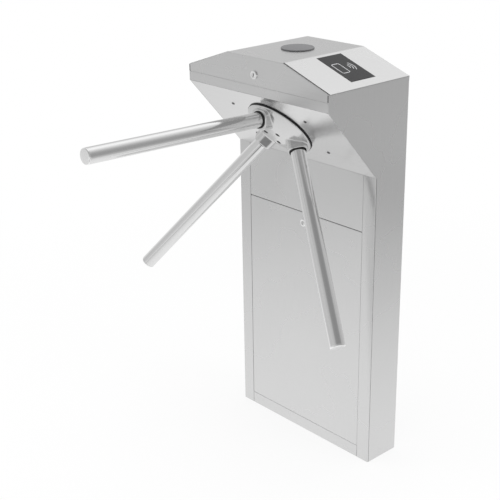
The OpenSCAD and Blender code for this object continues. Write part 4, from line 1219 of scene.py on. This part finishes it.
@dataclass
class SmallEdges:
    """Small rounded edges on the fittings."""

    width: float = 0.5 * MM
    angle: float = math.radians(25)
    nodes: Names = (
        "indicator_cap",
        "reader_window_left",
        "reader_window_right",
        "lid_lock_body",
        "door_lock_body",
        "hub_screws",
    )

    def build(self) -> None:
        """Welds each node's loose triangles and bevels its sharp edges."""
        for name in self.nodes:
            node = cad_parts[name]
            weld = node.modifiers.new("weld", "WELD")
            weld.merge_threshold = WELD
            edge = node.modifiers.new("edge", "BEVEL")
            edge.width = self.width if "screws" not in name else self.width / 3
            edge.segments = 2
            edge.limit_method = "ANGLE"
            edge.angle_limit = self.angle
            edge.harden_normals = True
            LOG.info("edges of %s rounded by %.2f mm", name, edge.width / MM)


# Studio


def direction(azimuth: float, elevation: float) -> Vector:
    """Direction from the turnstile, from degrees; azimuth 0 is -Y and 90 is +X."""
    a, e = math.radians(azimuth), math.radians(elevation)
    return Vector((math.sin(a) * math.cos(e), -math.cos(a) * math.cos(e), math.sin(e)))


@dataclass(frozen=True)
class PhotoCamera:
    """The camera of the photograph."""

    place: Triple = (1.68118, -1.72844, 1.44406)
    azimuth: float = 48.1486
    elevation: float = 21.8182
    roll: float = -0.94
    lens: float = 76.654
    sensor: float = 36.0
    clip: Pair = (0.05, 50.0)

    def build(self) -> None:
        """Makes the camera and sets it as the scene's camera."""
        data = bpy.data.cameras.new("photo_camera")
        data.lens = self.lens
        data.sensor_width = self.sensor
        data.clip_start, data.clip_end = self.clip
        camera = link("photo_camera", data)
        r = math.radians(self.roll)
        back = direction(self.azimuth, self.elevation)
        level = Vector((0, 0, 1)).cross(back).normalized()
        up = back.cross(level)
        right = level * math.cos(r) + up * math.sin(r)
        up = back.cross(right)
        turn = Matrix((right, up, back)).transposed()
        camera.matrix_world = Matrix.Translation(self.place) @ turn.to_4x4()
        bpy.context.scene.camera = camera


@dataclass(frozen=True)
class Card:
    """A soft card of the studio, as polished metal sees it: where it stands and how light."""

    azimuth: float
    elevation: float
    level: float


CARDS = (
    Card(132, 12, 0.37),
    Card(100, 20, 0.36),
    Card(70, 62, 0.29),
    Card(115, 50, 0.30),
    Card(20, 60, 0.31),
    Card(-40, 62, 0.32),
    Card(50, 22, 0.42),
    Card(10, 20, 0.52),
    Card(-12, 40, 0.58),
    Card(-28, 22, 0.64),
    Card(-55, 10, 0.62),
    Card(-85, 5, 0.76),
    Card(-104, 2, 0.94),
    Card(-130, 12, 0.72),
    Card(-134, 24, 0.57),
    Card(-155, 38, 1.25),
    Card(-142, 36, 0.84),
    Card(-146, 8, 0.56),
    Card(-160, 52, 1.20),
    Card(176, 52, 1.05),
    Card(156, 48, 0.74),
    Card(150, 26, 0.55),
    Card(168, 12, 0.60),
)


@dataclass(frozen=True)
class Lamp:
    """A soft square lamp that faces the head of the turnstile, with its power in watts."""

    name: str
    place: Triple
    size: float
    power: float
    aim: Triple = (0.0, -0.1, 0.6)

    def build(self) -> None:
        """Adds the lamp, which glossy rays don't see."""
        data = bpy.data.lights.new(self.name, "AREA")
        data.shape = "SQUARE"
        data.size = self.size
        data.energy = self.power
        made = link(self.name, data)
        made.location = self.place
        way = Vector(self.aim) - Vector(self.place)
        made.rotation_euler = way.to_track_quat("-Z", "Y").to_euler()
        made.visible_glossy = False


LAMPS = (
    Lamp("lamp_over", (0.3, -0.4, 3.4), 2.2, 40.0),
    Lamp("lamp_left", (-2.6, -2.2, 2.0), 1.6, 22.0),
    Lamp("lamp_right", (2.8, 0.6, 2.2), 1.6, 14.0),
)
GLOSS_RAYS = ("Is Glossy Ray", "Is Transmission Ray")
WHITE = (1.0, 1.0, 1.0, 1.0)


@dataclass(frozen=True)
class Studio:
    """Pale floor, soft lamps and a white world with soft grey cards for the metal."""

    floor_radius: float = 2.4
    floor_colour: tuple[float, float, float, float] = (0.86, 0.86, 0.86, 1.0)
    floor_share: float = 0.86
    fall_out: float = 0.20
    fall_right: float = 0.045
    ambient: float = 0.75
    card_edge: float = 30.0
    open_white: float = 0.01
    fade: Pair = (0.7, 2.0)
    patch: Triple = (0.55, -1.02, 0.0)
    patch_reach: Pair = (0.08, 0.34)
    patch_level: float = 0.08

    def dark_patch(self, graph: Graph, place: Socket) -> Socket:
        """Level of the soft dark patch on the floor that the chrome mirrors, 1 away from it."""
        away = graph.measure("DISTANCE", place, self.patch)
        return graph.ramp(away, self.patch_reach, (self.patch_level, 1.0))

    def floor_surface(self, graph: Graph) -> None:
        """Fills the floor's node tree: lit for its shadow, aglow to cameras and to gloss.

        Args:
            graph: the floor's empty node tree.
        """
        place = graph.add("ShaderNodeTexCoord", {}).outputs["Object"]
        away = graph.measure("LENGTH", place)
        across = graph.add("ShaderNodeSeparateXYZ", {0: place}).outputs["X"]
        near = graph.arithmetic("MULTIPLY_ADD", away, -self.fall_out, 1.0)
        sideways = graph.arithmetic("MULTIPLY_ADD", across, -self.fall_right, near)
        fall = graph.arithmetic("MULTIPLY", sideways, self.dark_patch(graph, place))
        loss = graph.arithmetic("SUBTRACT", fall, 1.0)
        strength = graph.arithmetic("MULTIPLY_ADD", graph.light_path(*GLOSS_RAYS), loss, 1.0)
        glow = graph.add("ShaderNodeEmission", {"Strength": strength}).outputs[0]
        lit = graph.add("ShaderNodeBsdfDiffuse", {"Color": self.floor_colour}).outputs[0]
        seen = graph.light_path("Is Camera Ray", *GLOSS_RAYS)
        share = graph.ramp(away, self.fade, (self.floor_share, 1.0))
        surface = graph.blend(graph.arithmetic("MULTIPLY", seen, share), lit, glow)
        graph.add("ShaderNodeOutputMaterial", {"Surface": surface})

    def floor(self) -> None:
        """Makes the pale floor, which keeps a faint shadow and is duller where metal mirrors it."""
        bm = bmesh.new()
        bmesh.ops.create_circle(bm, cap_ends=True, segments=SIDES, radius=self.floor_radius)
        mesh = bpy.data.meshes.new("floor")
        bm.to_mesh(mesh)
        bm.free()
        made = link("floor", mesh)
        material = bpy.data.materials.new("pale_floor")
        material.use_nodes = True
        material.node_tree.nodes.clear()
        self.floor_surface(Graph(material.node_tree))
        mesh.materials.append(material)

    def card_level(self, graph: Graph) -> Socket:
        """Blends the cards' levels over the world, which stays white where no card is near.

        Args:
            graph: the world's node tree.

        Returns:
            The level in each direction.
        """
        way = graph.add("ShaderNodeTexCoord", {}).outputs["Generated"]
        light: Socket | float = self.open_white
        weight: Socket | float = self.open_white
        steep = self.card_edge
        for card in CARDS:
            dot = graph.measure("DOT_PRODUCT", way, direction(card.azimuth, card.elevation))
            power = graph.arithmetic("MULTIPLY_ADD", dot, steep, -steep)
            share = graph.arithmetic("EXPONENT", power)
            light = graph.arithmetic("MULTIPLY_ADD", share, card.level, light)
            weight = graph.arithmetic("ADD", share, weight)
        return graph.arithmetic("DIVIDE", light, weight)

    def background(self, graph: Graph, strength: Socket | float) -> Socket:
        """Adds a white background of some strength."""
        fed = {"Color": WHITE, "Strength": strength}
        return graph.add("ShaderNodeBackground", fed).outputs[0]

    def world(self) -> None:
        """Makes the world: white to the camera, the cards to gloss, a plain ambient to the rest."""
        world = bpy.data.worlds.new("studio")
        bpy.context.scene.world = world
        world.use_nodes = True
        world.node_tree.nodes.clear()
        graph = Graph(world.node_tree)
        plain = self.background(graph, self.ambient)
        cards = self.background(graph, self.card_level(graph))
        glossy = graph.blend(graph.light_path(*GLOSS_RAYS), plain, cards)
        white = self.background(graph, 1.0)
        whole = graph.blend(graph.light_path("Is Camera Ray"), glossy, white)
        graph.add("ShaderNodeOutputWorld", {"Surface": whole})

    def build(self) -> None:
        """Builds the floor, world and lamps, and sets the view transform."""
        self.floor()
        self.world()
        for lamp in LAMPS:
            lamp.build()
        bpy.context.scene.view_settings.view_transform = "Standard"


def main() -> None:
    """Builds the whole scene."""
    logging.basicConfig(level=logging.INFO, format="%(name)s: %(message)s")
    PhotoCamera().build()
    wardrobe = Wardrobe()
    wardrobe.dress_nodes()
    for group in (Arms, Hub, FoldedSheets, ReaderSigns, LockFaces, PlateScrews, SheetSeams):
        group(wardrobe).build()
    SmallEdges().build()
    Studio().build()


if __name__ == "__main__":
    main()
